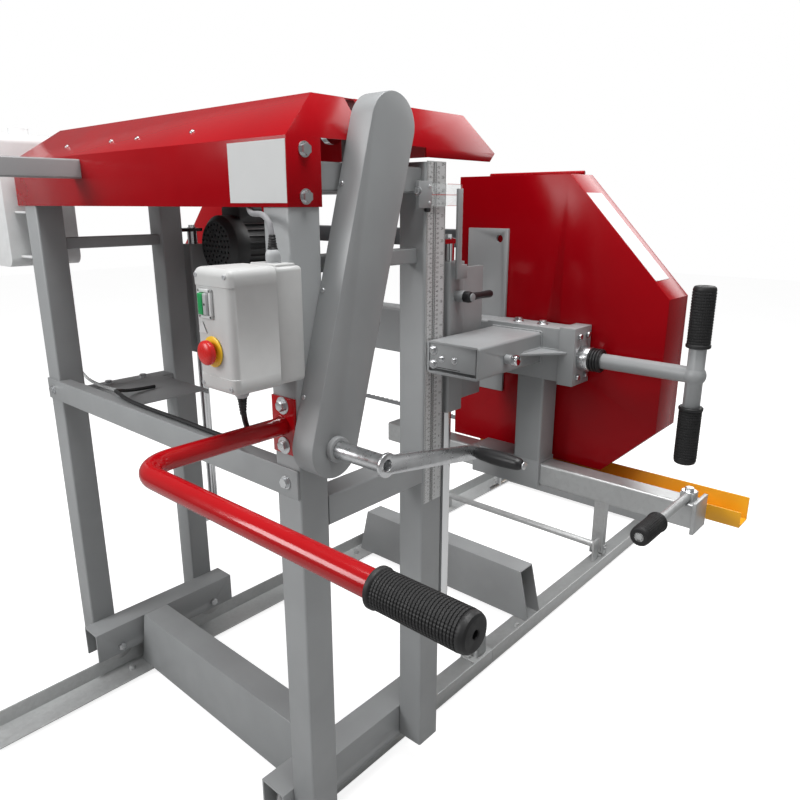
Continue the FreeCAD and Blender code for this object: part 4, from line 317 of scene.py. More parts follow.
class Finish(Enum):
    """The finishes of the machine: name, slot, colour, then what the kind asks for."""

    FRAME_GREY = Painted("frame_grey_coat", "frame_grey", (0.31, 0.32, 0.325), 0.34, 0.46, 0.05)
    DARK_GREY = Painted("dark_grey_coat", "dark_grey", (0.085, 0.09, 0.095), 0.38, 0.5, 0.06)
    COVER_RED = Painted(
        "cover_red", "red_paint", (0.33, 0.001, 0.005), 0.18, 0.24, 0.04, 0.0035, 0.000008, 0, 0.14
    )
    HANDLE_RED = Painted(
        "handle_red", "red_paint", (0.39, 0.002, 0.005), 0.14, 0.2, 0.04, 0.004, 0.000008, 0.2, 0.4
    )
    GUARD_YELLOW = Painted("guard_yellow", "yellow_paint", (0.9, 0.42, 0.015), 0.3, 0.42)
    MOTOR_BLACK = Painted("motor_black", "black_paint", (0.02, 0.021, 0.022), 0.34, 0.5, 0.15)
    ZINC_DIP = Galvanised("zinc_dip", "galvanised", (0.5, 0.51, 0.51), 0.009)
    ZINC_PLATE = Metal("zinc_plate", "bright_steel", (0.66, 0.67, 0.68), 0.24, 0.36)
    CHROME = Metal(
        "chrome", "bright_steel", (0.78, 0.79, 0.8), 0.08, 0.16, (1, 1, 0.06), 0.003, 0.000006
    )
    TURNED_STEEL = Metal("turned_steel", "wheel_steel", (0.5, 0.5, 0.5), 0.3, 0.38)
    BAND_STEEL = Metal(
        "band_steel", "blade_steel", (0.52, 0.53, 0.55), 0.22, 0.38, (0.08, 1, 1), 0.002, 0.000015
    )
    CAST_GREY = Painted(
        "cast_grey", "cast_wheel", (0.2, 0.21, 0.22), 0.42, 0.58, 0.1, 0.0022, 0.00016
    )
    GRIP_RUBBER = Moulded(
        "grip_rubber", "black_rubber", (0.007, 0.007, 0.0075), 0.5, 0.66, 0.0009, 0.00005, 0.2
    )
    BELT_RUBBER = Moulded(
        "belt_rubber", "black_rubber", (0.016, 0.016, 0.017), 0.6, 0.8, 0.0016, 0.00008, 0.25
    )
    BLACK_PLASTIC = Moulded("black_moulding", "black_plastic", (0.014, 0.014, 0.015), 0.36, 0.48)
    BOX_PLASTIC = Moulded(
        "box_moulding", "box_plastic", (0.53, 0.535, 0.53), 0.4, 0.5, 0.0011, 0.00003, 0.02
    )
    GLAND_PLASTIC = Moulded(
        "gland_plastic", "box_plastic", (0.42, 0.43, 0.44), 0.36, 0.46, spread=0.03
    )
    TANK_PLASTIC = Moulded(
        "tank_plastic", "pale_plastic", (0.72, 0.73, 0.73), 0.34, 0.44, 0.0018, 0.00003, 0.03
    )
    STOP_RED = Moulded(
        "stop_red", "red_plastic", (0.6, 0.012, 0.01), 0.24, 0.32, 0.003, 0.00001, 0.03
    )
    STOP_YELLOW = Moulded("stop_yellow", "yellow_paint", (0.9, 0.56, 0.02), 0.3, 0.4, spread=0.03)
    START_GREEN = Moulded(
        "start_green", "green_plastic", (0.01, 0.3, 0.08), 0.24, 0.34, spread=0.04
    )
    SCALE_WHITE = Moulded(
        "scale_face", "scale_white", (0.6, 0.61, 0.61), 0.3, 0.4, 0.004, 0.00001, 0.02
    )
    SCALE_INK = Moulded("scale_ink", "black_plastic", (0.02, 0.02, 0.02), 0.4, 0.5, spread=0.2)
    MARK_RED = Moulded("mark_red", "red_plastic", (0.6, 0.01, 0.012), 0.35, 0.45, spread=0.1)
    PLATE_WHITE = Moulded(
        "plate_white", "scale_white", (0.62, 0.63, 0.63), 0.3, 0.34, 0.006, 0.000002, 0.008
    )
    CABLE_GREY = Moulded("cable_grey", "grey_cable", (0.25, 0.25, 0.26), 0.5, 0.62, 0.001)
    CABLE_BLACK = Moulded("cable_black", "black_cable", (0.014, 0.014, 0.015), 0.42, 0.56, 0.001)
    HOSE_CLEAR = Clear("hose_clear", "clear_hose", (0.88, 0.9, 0.9), 0.18, 0.55)
    POINTER_CLEAR = Clear("pointer_clear", "clear_hose", (0.96, 0.97, 0.97), 0.03, 0.92)

    @property
    def material(self) -> bpy.types.Material:
        """The finish's material, made once."""
        return bpy.data.materials.get(self.value.name) or self.value.make()


# ---------------------------------------------------------------- bench work


def clear_bench() -> None:
    """Leave edit mode and select nothing."""
    if bpy.context.mode != "OBJECT":
        bpy.ops.object.mode_set(mode="OBJECT")
    bpy.ops.object.select_all(action="DESELECT")


def take(piece: Piece) -> None:
    """Select one piece alone and make it active."""
    clear_bench()
    piece.select_set(True)
    bpy.context.view_layer.objects.active = piece


@contextmanager
def editing(piece: Piece) -> Iterator[None]:
    """Work on a piece in edit mode, where all of it is selected at first."""
    take(piece)
    bpy.ops.object.mode_set(mode="EDIT")
    bpy.ops.mesh.select_all(action="SELECT")
    yield
    bpy.ops.object.mode_set(mode="OBJECT")


def linked(name: str, data: bpy.types.ID) -> Piece:
    """Put new data into the scene as an object."""
    piece = bpy.data.objects.new(name, data)
    bpy.context.collection.objects.link(piece)
    return piece


def settle(piece: Piece, name: str) -> Piece:
    """Name a piece and put its place and turn into its mesh."""
    take(piece)
    bpy.ops.object.transform_apply(location=True, rotation=True, scale=True)
    piece.name = name
    piece.data.name = name
    return piece


def pick(piece: Piece, test: Callable[[object], bool], kind: str = "verts") -> None:
    """Select the parts of a mesh in edit mode that pass a test.

    Args:
        piece: the object in edit mode.
        test: a function of a vertex, edge or face of the edit mesh.
        kind: verts, edges or faces.
    """
    mesh = bmesh.from_edit_mesh(piece.data)
    for part in mesh.verts:
        part.select_set(False)
    mesh.select_flush(False)
    for part in getattr(mesh, kind):
        if test(part):
            part.select_set(True)
    mesh.select_flush_mode()
    bmesh.update_edit_mesh(piece.data)


def modify(piece: Piece, kind: str, **values: object) -> Piece:
    """Add a modifier, set it and apply it.

    Args:
        piece: the object.
        kind: the modifier's type.
        values: its settings.

    Returns:
        The same object.
    """
    take(piece)
    modifier = piece.modifiers.new(kind.lower(), kind)
    for key, value in values.items():
        setattr(modifier, key, value)
    bpy.ops.object.modifier_apply(modifier=modifier.name)
    return piece


def shaded(piece: Piece, angle: float) -> Piece:
    """Shade a piece smooth but for edges sharper than an angle in degrees."""
    take(piece)
    bpy.ops.object.shade_smooth_by_angle(angle=math.radians(angle))
    return piece


def soften(piece: Piece, width: float, steps: int = 2, angle: float = 38) -> Piece:
    """Break a piece's sharp edges and shade it smooth.

    Args:
        piece: the object.
        width: how wide the broken edge is.
        steps: how many faces it has.
        angle: the least angle of a sharp edge, in degrees.

    Returns:
        The same object.
    """
    if width > 0:
        limit = {"limit_method": "ANGLE", "angle_limit": math.radians(angle)}
        modify(piece, "BEVEL", width=width, segments=steps, use_clamp_overlap=True, **limit)
    return shaded(piece, angle)


def block(name: str, low: Point, high: Point, edge: float, steps: int = 2) -> Piece:
    """A block with rounded edges.

    Args:
        name: its name.
        low: its lowest corner.
        high: its highest corner.
        edge: how wide its rounding is.
        steps: how many faces the rounding has.

    Returns:
        The object.
    """
    clear_bench()
    middle = [(a + b) / 2 for a, b in zip(low, high)]
    bpy.ops.mesh.primitive_cube_add(size=1, location=middle)
    piece = bpy.context.object
    piece.scale = [b - a for a, b in zip(low, high)]
    return soften(settle(piece, name), edge, steps)


def prism(name: str, sides: int, radius: float, depth: float, at: Point = (0, 0, 0)) -> Piece:
    """A straight prism along Z about a point, to be bevelled or cut further.

    Args:
        name: its name.
        sides: how many sides it has.
        radius: how far its corners are from its axis.
        depth: its height.
        at: its middle.

    Returns:
        The object.
    """
    clear_bench()
    bpy.ops.mesh.primitive_cylinder_add(vertices=sides, radius=radius, depth=depth, location=at)
    return settle(bpy.context.object, name)


def turn_to(piece: Piece, axis: Vector, at: Vector, spin: float = 0) -> Piece:
    """Stand a piece made along Z on a point, facing along an axis.

    Args:
        piece: the object, made at the origin.
        axis: the direction that its Z takes.
        at: where its origin goes.
        spin: a turn about the axis, in radians.

    Returns:
        The same object.
    """
    piece.rotation_mode = "QUATERNION"
    lean = Vector((0, 0, 1)).rotation_difference(axis)
    piece.rotation_quaternion = lean @ Quaternion((0, 0, 1), spin)
    piece.location = at
    return settle(piece, piece.name)


def spun(
    name: str, profile: Profile, at: Point, axis: Vector, steps: int = 48, angle: float = 32
) -> Piece:
    """Turn a profile about an axis.

    Args:
        name: the piece's name.
        profile: radius and height of each corner, from one end to the other.
        at: where the height is zero.
        axis: the direction of the height.
        steps: how many faces go round.
        angle: the least angle of a sharp edge, in degrees.

    Returns:
        The object.
    """
    clear_bench()
    bpy.ops.mesh.primitive_plane_add(size=0.001, location=(0, 0, 0))
    piece = bpy.context.object
    with editing(piece):
        bpy.ops.mesh.merge(type="CENTER")
        bpy.ops.transform.translate(value=(profile[0][0], 0, profile[0][1]))
        for (r0, h0), (r1, h1) in zip(profile, profile[1:]):
            step = {"value": (r1 - r0, 0, h1 - h0)}
            bpy.ops.mesh.extrude_region_move(TRANSFORM_OT_translate=step)
        bpy.ops.mesh.select_all(action="SELECT")
        bpy.ops.mesh.spin(steps=steps, angle=math.tau, center=(0, 0, 0), axis=(0, 0, 1))
        bpy.ops.mesh.select_all(action="SELECT")
        bpy.ops.mesh.remove_doubles(threshold=SPIN_GAP)
        bpy.ops.mesh.select_all(action="SELECT")
        bpy.ops.mesh.normals_make_consistent(inside=False)
    piece.name = name
    return shaded(turn_to(piece, axis, Vector(at)), angle)


def dome(
    radius: float, tall: float, rim: float, rise: float, steps: int, power: float = 1.0
) -> Profile:
    """The upper part of a turned profile: a quarter turn from a rim to the crown.

    Args:
        radius: the rim's radius.
        tall: the height that rim and rise are shares of.
        rim: how high the rim is.
        rise: how much higher the crown is.
        steps: how many faces lead up.
        power: below 1 for a fuller shoulder.

    Returns:
        The corners after the rim.
    """
    turns = [math.pi / 2 * step / steps for step in range(1, steps + 1)]
    return [
        (radius * math.cos(turn) ** power, tall * (rim + rise * math.sin(turn))) for turn in turns
    ]


def joined(name: str, pieces: list[Piece]) -> Piece:
    """Join pieces of one finish."""
    take(pieces[0])
    for piece in pieces:
        piece.select_set(True)
    if len(pieces) > 1:
        bpy.ops.object.join()
    return settle(bpy.context.view_layer.objects.active, name)


def hex_bolt(name: str, seat: Point, axis: Vector, across: float, spin: float) -> Piece:
    """A hexagon head on a washer, its corners turned off.

    Args:
        name: its name.
        seat: where its axis meets the surface that it holds.
        axis: the direction away from that surface.
        across: the width over the flats.
        spin: how far the head happens to be turned, in radians.

    Returns:
        The object.
    """
    radius = across / math.sqrt(3)
    height, washer = across * 0.4, across * 0.11
    head = prism(name + "_head", 6, radius, height, (0, 0, washer + height / 2))
    with editing(head):
        pick(head, lambda face: face.normal.z > 0.9, "faces")
        bpy.ops.mesh.inset(thickness=radius * 0.14, depth=height * 0.1)
    soften(head, across * 0.02, 1, 25)
    ring = prism(name + "_washer", 32, across * 0.92, washer, (0, 0, washer / 2))
    soften(ring, washer * 0.25, 1)
    return turn_to(joined(name, [head, ring]), axis, Vector(seat), spin)


def pan_screw(name: str, seat: Point, axis: Vector, radius: float, spin: float = 0.4) -> Piece:
    """A domed screw head with a slot across it.

    Args:
        name: its name.
        seat: where its axis meets the surface that it holds.
        axis: the direction away from that surface.
        radius: the head's radius.
        spin: how far the slot happens to be turned, in radians.

    Returns:
        The object.
    """
    profile = [(radius, -radius * 0.1), (radius, radius * 0.16)]
    profile += dome(radius, radius, 0.16, 0.44, 6)
    head = spun(name + "_head", profile, (0, 0, 0), Z, 28, 50)
    long, wide = radius * 1.3, radius * 0.13
    tool = block(name + "_tool", (-long, -wide, radius * 0.36), (long, wide, radius), 0)
    modify(head, "BOOLEAN", operation="DIFFERENCE", object=tool)
    bpy.data.objects.remove(tool)
    head.name = name
    return turn_to(head, axis, Vector(seat), spin)


def bead(start: Point, end: Point, radius: float, seed: int) -> Piece:
    """A weld bead between two points: a row of overlapping drops.

    Args:
        start: one end.
        end: the other end.
        radius: the size of a drop.
        seed: what sets the drops' small differences.

    Returns:
        The object.
    """
    chance = random.Random(seed)
    first, last = Vector(start), Vector(end)
    count = max(3, int((last - first).length / (radius * 0.62)))
    drops = []
    for index in range(count + 1):
        clear_bench()
        bpy.ops.mesh.primitive_ico_sphere_add(
            subdivisions=2,
            radius=radius * chance.uniform(0.86, 1.12),
            location=first.lerp(last, index / count),
        )
        drops.append(bpy.context.object)
    piece = joined("weld_bead", drops)
    bpy.ops.object.shade_smooth()
    return piece


def finish_piece(piece: Piece, body: str, finish: Finish, *nodes: str) -> Piece:
    """Give a piece its finish and its body.

    Args:
        piece: the object.
        body: the CAD body that it rides on.
        finish: its finish.
        nodes: the CAD nodes that it stands for.

    Returns:
        The same object.
    """
    piece.data.materials.clear()
    piece.data.materials.append(finish.material)
    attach(piece, body)
    if nodes:
        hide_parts(*nodes)
    LOG.info("%s rides on %s", piece.name, body)
    return piece


def finish_set(name: str, pieces: list[Piece], body: str, finish: Finish, *nodes: str) -> Piece:
    """Join pieces and finish them as one, as finish_piece does."""
    return finish_piece(joined(name, pieces), body, finish, *nodes)


def solids_of(piece: Piece) -> list[Piece]:
    """Part a mesh into its closed solids, also where two of them touch.

    Args:
        piece: a mesh whose solids share no edge but where they touch.

    Returns:
        One object for each solid, welded, with its flat faces made whole.
    """
    before = set(bpy.data.objects)
    with editing(piece):
        bpy.ops.mesh.remove_doubles(threshold=WELD_GAP)
        pick(piece, lambda edge: len(edge.link_faces) > 2, "edges")
        bpy.ops.mesh.edge_split(type="EDGE")
        pick(piece, lambda vertex: not vertex.is_manifold)
        bpy.ops.mesh.edge_split(type="VERT")
        bpy.ops.mesh.select_all(action="SELECT")
        bpy.ops.mesh.separate(type="LOOSE")
    solids = [piece, *sorted(set(bpy.data.objects) - before, key=lambda item: item.name)]
    for solid in solids:
        with editing(solid):
            bpy.ops.mesh.remove_doubles(threshold=WELD_GAP)
            bpy.ops.mesh.dissolve_limited(angle_limit=math.radians(0.4))
    return solids


def dress(finish: Finish, *nodes: str) -> None:
    """Give CAD nodes that stay a finish."""
    for node in nodes:
        item = frame["nodes"][node]
        if not item.material_slots:
            item.data.materials.append(finish.material)
        for slot in item.material_slots:
            slot.material = finish.material
        LOG.info("%s keeps its own mesh", node)


@dataclass
class Taken:
    """A CAD piece taken over with its sharp edges broken.

    Its separate solids may have finishes of their own: each entry of others is
    a corner pair and the finish of the solids whose middle lies between them.
    Solids whose middle lies between a corner pair of left_out aren't taken.
    """

    node: str
    body: str
    finish: Finish
    edge: float
    others: list[tuple[Point, Point, Finish]] = field(default_factory=list)
    left_out: list[tuple[Point, Point]] = field(default_factory=list)

    def build(self) -> None:
        """Copy the mesh, weld it, break its edges and part it by finish."""
        piece = linked(self.node + "_skin", frame["nodes"][self.node].data.copy())
        piece.data.materials.clear()
        groups: dict[Finish, list[Piece]] = {}
        for shell in solids_of(piece):
            finish = self.finish_of(shell)
            if finish is None:
                bpy.data.objects.remove(shell)
            else:
                groups.setdefault(finish, []).append(soften(shell, self.edge))
        nodes = (self.node,)
        for finish, members in groups.items():
            name = f"{self.node}_{finish.name.lower()}"
            finish_set(name, members, self.body, finish, *nodes)
            nodes = ()

    def finish_of(self, shell: Piece) -> Finish | None:
        """The finish of a shell, by where its middle is; None leaves it out."""
        spots = [vertex.co for vertex in shell.data.vertices]
        middle = [(min(s[i] for s in spots) + max(s[i] for s in spots)) / 2 for i in range(3)]
        for low, high, *finish in (*self.left_out, *self.others):
            if all(a <= m <= b for a, m, b in zip(low, middle, high)):
                return finish[0] if finish else None
        return self.finish


def take_over(*rows: tuple) -> None:
    """Take several CAD pieces over, each row with the fields of one Taken."""
    for row in rows:
        Taken(*row).build()


# ---------------------------------------------------------------- camera and cords


@dataclass
class Studio:
    """The camera of the picture, a pale floor and soft lamps."""

    eye: Point = (1.4625, -0.974, 1.42)
    look: Point = (-0.6372, 0.7203, -0.274)
    lens: float = 31.05
    floor_reach: float = 14.0
    floor_glow: float = 0.84
    sky_light: float = 0.24
    aim: Point = (0, 0.3, 0.8)
    lamps: tuple = (
        ("key", (-1.4, -3.8, 3.0), 2.0, 124),
        ("top", (0.9, 0.0, 4.4), 2.2, 150),
        ("fill", (3.8, -0.6, 2.0), 2.4, 7),
        ("back", (0.6, 4.4, 3.2), 3.0, 70),
    )

    def hang(self, name: str, data: bpy.types.ID, at: Point, way: Vector) -> Piece:
        """Put a camera or a lamp at a place, facing along a way."""
        item = linked(name, data)
        item.location = at
        item.rotation_mode = "QUATERNION"
        item.rotation_quaternion = way.to_track_quat("-Z", "Y")
        return item

    def camera(self) -> None:
        """Set the camera where the picture was taken."""
        data = bpy.data.cameras.new("picture")
        data.lens = self.lens
        data.sensor_width = 36
        data.clip_end = 60
        bpy.context.scene.camera = self.hang("picture", data, self.eye, Vector(self.look))

    def light(self) -> None:
        """Hang the soft square lamps: name, place, side in metres and power in watts."""
        for name, at, size, power in self.lamps:
            data = bpy.data.lights.new(name, "AREA")
            data.shape = "SQUARE"
            data.size = size
            data.energy = power
            self.hang(name, data, at, Vector(self.aim) - Vector(at))

    def floor(self) -> None:
        """Lay the pale floor that keeps the shadow."""
        clear_bench()
        bpy.ops.mesh.primitive_plane_add(size=self.floor_reach * 2, location=(0, 0, -0.0005))
        ground = settle(bpy.context.object, "floor")
        tree = Tree("floor_pale")
        tree.tones(tree.noise(0.5, 2.0), (0.5, 0.5, 0.5), (0.52, 0.52, 0.52))
        put(tree.shader, Roughness=0.9, Emission_Color=(1, 1, 1, 1))
        seen = tree.add("Math")
        seen.operation = "MULTIPLY"
        seen.inputs[1].default_value = self.floor_glow
        tree.join(tree.add("LightPath").outputs["Is Camera Ray"], seen.inputs[0])
        tree.join(seen.outputs["Value"], tree.shader.inputs["Emission Strength"])
        ground.data.materials.append(tree.material)

    def sky(self) -> None:
        """Light the machine from all round, and show white behind it."""
        world = bpy.data.worlds.new("studio")
        world.use_nodes = True
        bpy.context.scene.world = world
        tree = world.node_tree
        ground = put(tree.nodes["Background"], Color=(1, 1, 1, 1))
        path = tree.nodes.new("ShaderNodeLightPath")
        seen = tree.nodes.new("ShaderNodeMath")
        seen.operation = "MAXIMUM"
        level = put(tree.nodes.new("ShaderNodeMapRange"), To_Min=self.sky_light, To_Max=1.0)
        link = tree.links.new
        link(path.outputs["Is Camera Ray"], seen.inputs[0])
        link(path.outputs["Is Transmission Ray"], seen.inputs[1])
        link(seen.outputs["Value"], level.inputs["Value"])
        link(level.outputs["Result"], ground.inputs["Strength"])

    def set_up(self) -> None:
        """Build the whole studio."""
        bpy.context.scene.view_settings.view_transform = "Standard"
        self.camera()
        self.floor()
        self.sky()
        self.light()


@dataclass
class Lead:
    """A cable or hose on the machine: one smooth curve, its route in millimetres."""

    node: str
    finish: Finish
    radius: float
    length: float
    relief: float
    route: list[Point]

    def build(self) -> None:
        """Lay the curve, and the tapered relief where it leaves its housing."""
        data = bpy.data.curves.new(self.node + "_line", "CURVE")
        data.dimensions = "3D"
        line = data.splines.new("NURBS")
        line.points.add(len(self.route) - 1)
        for spot, place in zip(line.points, self.route):
            spot.co = (*[part / 1000 for part in place], 1)
        line.order_u = 3
        line.use_endpoint_u = True
        line.resolution_u = 12
        data.bevel_depth = self.radius
        data.bevel_resolution = 5
        data.use_fill_caps = True
        lead = linked(self.node + "_line", data)
        finish_piece(lead, "carriage", self.finish, self.node)
        start = Vector(self.route[0]) / 1000
        along = (Vector(self.route[1]) / 1000 - start).normalized()
        sleeve = spun(self.node + "_relief", self.sleeve(), tuple(start), along, 28)
        finish_piece(sleeve, "carriage", Finish.BLACK_PLASTIC)

    def sleeve(self) -> Profile:
        """The profile of the relief: a collar, five ribs that get narrower, and its end."""
        skin, tall = self.radius, self.relief
        profile = [(skin * 0.9, 0.0), (skin * 1.7, 0.0), (skin * 1.7, tall * 0.1)]
        for step in range(5):
            height = tall * (0.16 + 0.17 * step)
            wide = skin * (1.55 - 0.1 * step)
            for share, rise in ((0.9, 0.0), (1.0, 0.02), (1.0, 0.1), (0.9, 0.12)):
                profile.append((wide * share, height + tall * rise))
        return [*profile, (skin * 1.08, tall), (skin * 0.9, tall)]


LEADS: list[Lead] = [
    Lead("motor_cable", Finish.CABLE_GREY, 0.005, 0.206, 0.024, [
        (537, -244, 1347), (537, -244, 1386), (508, -238, 1404), (462, -224, 1402),
        (420, -200, 1408), (392, -184, 1436),
    ]),
    Lead("supply_cable", Finish.CABLE_BLACK, 0.005, 1.071, 0.03, [
        (505, -300, 1100), (505, -300, 1068), (482, -276, 1030), (442, -246, 994),
        (392, -218, 970), (330, -200, 955), (230, -197, 953), (112, -194, 953),
        (-10, -196, 953), (-126, -193, 953), (-226, -170, 952), (-316, -132, 931),
        (-352, -66, 911), (-356, 6, 909),
    ]),
    Lead("lube_hose", Finish.HOSE_CLEAR, 0.0045, 0.489, 0.024, [
        (-690, -140, 1220), (-690, -140, 1176), (-676, -134, 1112), (-650, -126, 1052),
        (-618, -120, 996), (-580, -110, 950), (-536, -104, 920), (-488, -97, 912),
        (-444, -90, 908), (-402, -86, 908),
    ]),
]


# ---------------------------------------------------------------- grips and handles


@dataclass
class RibbedGrip:
    """A rubber grip with a moulded check of ribs, pushed over the end of a bar.

    Its mouth is at the low end of its axis for -1, at the high end for 1.
    """

    name: str
    body: str
    low: Point
    high: Point
    axis: str
    mouth: int
    rings: int
    nodes: tuple[str, ...] = ()
    columns: int = 32
    corners: int = 4
    groove: float = 0.0011
    sink: float = 0.955

    def build(self) -> None:
        """Turn the body, then sink one of every few corners round it to part the columns."""
        number = "XYZ".index(self.axis)
        others = [i for i in range(3) if i != number]
        outer = (self.high[others[0]] - self.low[others[0]]) / 2
        length = self.high[number] - self.low[number]
        centre = [(a + b) / 2 for a, b in zip(self.low, self.high)]
        centre[number] = self.low[number] if self.mouth < 0 else self.high[number]
        collar = outer * 0.32
        start, end = collar * 1.15, length - outer * 0.42
        profile = self.profile(outer, collar, length, start, end)
        axis = AXES[self.axis] * -self.mouth
        round_it = self.columns * self.corners
        piece = spun(self.name, profile, tuple(centre), axis, round_it, 28)

        def sunk(vertex: bmesh.types.BMVert) -> bool:
            """Whether a corner belongs to a groove that runs along the grip."""
            along = (vertex.co[number] - centre[number]) * -self.mouth
            if not start - 0.0002 <= along <= end + 0.0002:
                return False
            across = [vertex.co[i] - centre[i] for i in others]
            turn = math.atan2(across[1], across[0]) / math.tau * self.columns * self.corners
            return round(turn) % self.corners == 0

        squeeze = [self.sink] * 3
        squeeze[number] = 1.0
        with editing(piece):
            pick(piece, sunk)
            bpy.ops.transform.resize(value=squeeze, center_override=centre)
        finish_piece(piece, self.body, Finish.GRIP_RUBBER, *self.nodes)

    def profile(
        self, outer: float, collar: float, length: float, start: float, end: float
    ) -> Profile:
        """The grip's profile: its collar, its rings and its domed end with a hole.

        Args:
            outer: the collar's radius.
            collar: its length.
            length: the grip's length.
            start: where the rings begin, from the mouth.
            end: where they end.

        Returns:
            The corners, from the mouth.
        """
        skin = outer * 0.94
        profile = [(outer * 0.5, 0.0), (outer * 0.93, 0.0), (outer, outer * 0.07)]
        profile += [(outer, collar * 0.75), (outer * 0.97, collar * 0.95)]
        pitch = (end - start) / self.rings
        for step in range(self.rings):
            foot = start + pitch * step
            for deep, share in ((1, 0.0), (0, 0.14), (0, 0.72), (1, 0.86)):
                profile.append((skin - self.groove * deep, foot + pitch * share))
        profile += [(skin * 0.985, end + outer * 0.06), (skin * 0.97, end + outer * 0.2)]
        profile += [(skin * 0.9, length - outer * 0.07), (skin * 0.78, length)]
        profile += [(outer * 0.24, length), (outer * 0.2, length - outer * 0.05)]
        return profile + [(outer * 0.2, length - outer * 0.2), (0.0, length - outer * 0.2)]


@dataclass
class PushHandle:
    """The red pushing bar with its bracket plate, bolts and rubber grip."""

    bolts: tuple[float, float] = (0.992, 1.068)

    def build(self) -> None:
        """Take the bar over and add the grip and the bolts."""
        node = "push_grip"
        RibbedGrip(node + "_rubber", "carriage", *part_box(node), "X", -1, 26, (node,), 36).build()
        cad_bolts = [((0.49, -0.227, 0.97), (0.53, -0.216, 1.09))]
        take_over(("push_handle", "carriage", Finish.HANDLE_RED, 0.0008, [], cad_bolts))
        heads = [
            hex_bolt(f"push_handle_bolt_{i}", (0.509, -0.217, z), -Y, 0.018, 0.2 + i)
            for i, z in enumerate(self.bolts)
        ]
        finish_set("push_handle_bolts", heads, "carriage", Finish.ZINC_PLATE)
        self.weld()

    def weld(self) -> None:
        """Lay a bead round the bar's foot, thicker at every third of its steps."""
        steps = 96
        clear_bench()
        bpy.ops.mesh.primitive_torus_add(
            major_radius=0.0172, minor_radius=0.0024, major_segments=steps, minor_segments=10
        )
        piece = bpy.context.object
        with editing(piece):
            pick(piece, lambda v: round(math.atan2(v.co.y, v.co.x) / math.tau * steps) % 3 == 0)
            bpy.ops.transform.resize(value=(1.012, 1.012, 1.3), center_override=(0, 0, 0))
        bpy.ops.object.shade_smooth()
        piece.name = "push_handle_weld"
        turn_to(piece, Y, Vector((0.503, -0.2178, 1.03)))
        finish_piece(piece, "carriage", Finish.HANDLE_RED)


@dataclass
class CrankDrive:
    """The winding crank, its grip and the chain case, with its foot and its lean."""

    screw_radius: float = 0.0045
    foot: Point = (0.551, -0.171, 0.994)
    lean: tuple[float, float] = (0.2756, 0.9613)

    def build(self) -> None:
        """Build the crank's pieces."""
        take_over(("crank", "crank", Finish.ZINC_PLATE, 0.0009))
        low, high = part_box("crank_grip")
        radius = (high[2] - low[2]) / 2
        length = high[0] - low[0]
        profile = [(radius * 0.42, 0.0), (radius * 0.66, 0.0), (radius * 0.72, length * 0.02)]
        for step in range(1, 16):
            share = step / 16
            belly = 0.72 + 0.28 * math.sin(math.pi * min(1.0, share * 0.82 + 0.06))
            profile.append((radius * belly, length * (0.02 + 0.9 * share)))
        profile += dome(profile[-1][0], length, 0.864, 0.136, 6)
        at = (low[0], (low[1] + high[1]) / 2, (low[2] + high[2]) / 2)
        grip = spun("crank_grip_plastic", profile, at, X, 40)
        finish_piece(grip, "crank_grip", Finish.BLACK_PLASTIC, "crank_grip")
        take_over(("crank_case", "carriage", Finish.FRAME_GREY, 0.0014))
        self.screws()
        dress(Finish.TURNED_STEEL, "lift_chain")
        dress(Finish.CHROME, "lift_shaft")

    def screws(self) -> None:
        """Put three screws along each flank of the case."""
        heads = []
        across, up = self.lean
        for side in (-1, 1):
            out = Vector((0, up * side, -across * side))
            for index, run in enumerate((0.07, 0.262, 0.45)):
                along = Vector((0, across, up)) * (run + 0.012)
                seat = Vector(self.foot) + along + out * 0.0558
                name = f"case_screw_{side}_{index}"
                heads.append(pan_screw(name, tuple(seat), out, self.screw_radius))
        finish_set("crank_case_screws", heads, "carriage", Finish.ZINC_PLATE)


@dataclass
class TensionUnit:
    """The band tensioner: the block, the bellows and the tee handle."""

    folds: int = 4
    depth: float = 0.026
    inner: float = 0.0235
    outer: float = 0.0262

    def build(self) -> None:
        """Build the tensioner's pieces."""
        bright = [
            ((0.76, 0.38, 1.0), (0.775, 0.48, 1.055), Finish.ZINC_PLATE),
            ((0.76, 0.38, 1.12), (0.775, 0.48, 1.17), Finish.ZINC_PLATE),
            ((0.57, 0.40, 1.153), (0.7, 0.45, 1.17), Finish.ZINC_PLATE),
            ((0.77, 0.42, 1.08), (0.78, 0.44, 1.1), Finish.ZINC_PLATE),
        ]
        cad_bellows = [((0.795, 0.42, 1.08), (0.81, 0.44, 1.1))]
        take_over(("tension_block", "head", Finish.FRAME_GREY, 0.0012, bright, cad_bellows))
        step = self.depth / self.folds
        low, high = self.inner, self.outer
        profile = [(0.019, 0.0), (low, 0.0)]
        for fold in range(self.folds):
            for radius, share in ((low, 0.1), (high, 0.3), (high, 0.62), (low, 0.84)):
                profile.append((radius, step * (fold + share)))
        profile += [(low, self.depth), (0.019, self.depth)]
        bellows = spun("tension_bellows", profile, (0.7892, 0.429, 1.087), X)
        finish_piece(bellows, "head", Finish.BLACK_PLASTIC)
        take_over(("tee_handle", "tee_handle", Finish.FRAME_GREY, 0.0008))
        self.grips()
        take_over(("idler_slide", "idler_slide", Finish.TURNED_STEEL, 0.0008))

    def grips(self) -> None:
        """Push a grip over each end of the tee."""
        low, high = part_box("tee_grips")
        ends = (("upper", 1.144, high[2], -1, ("tee_grips",)), ("lower", low[2], 1.022, 1, ()))
        for name, bottom, top, mouth, nodes in ends:
            first, last = (low[0], low[1], bottom), (high[0], high[1], top)
            name = f"tee_grip_{name}"
            RibbedGrip(name, "tee_handle", first, last, "Z", mouth, 18, nodes).build()


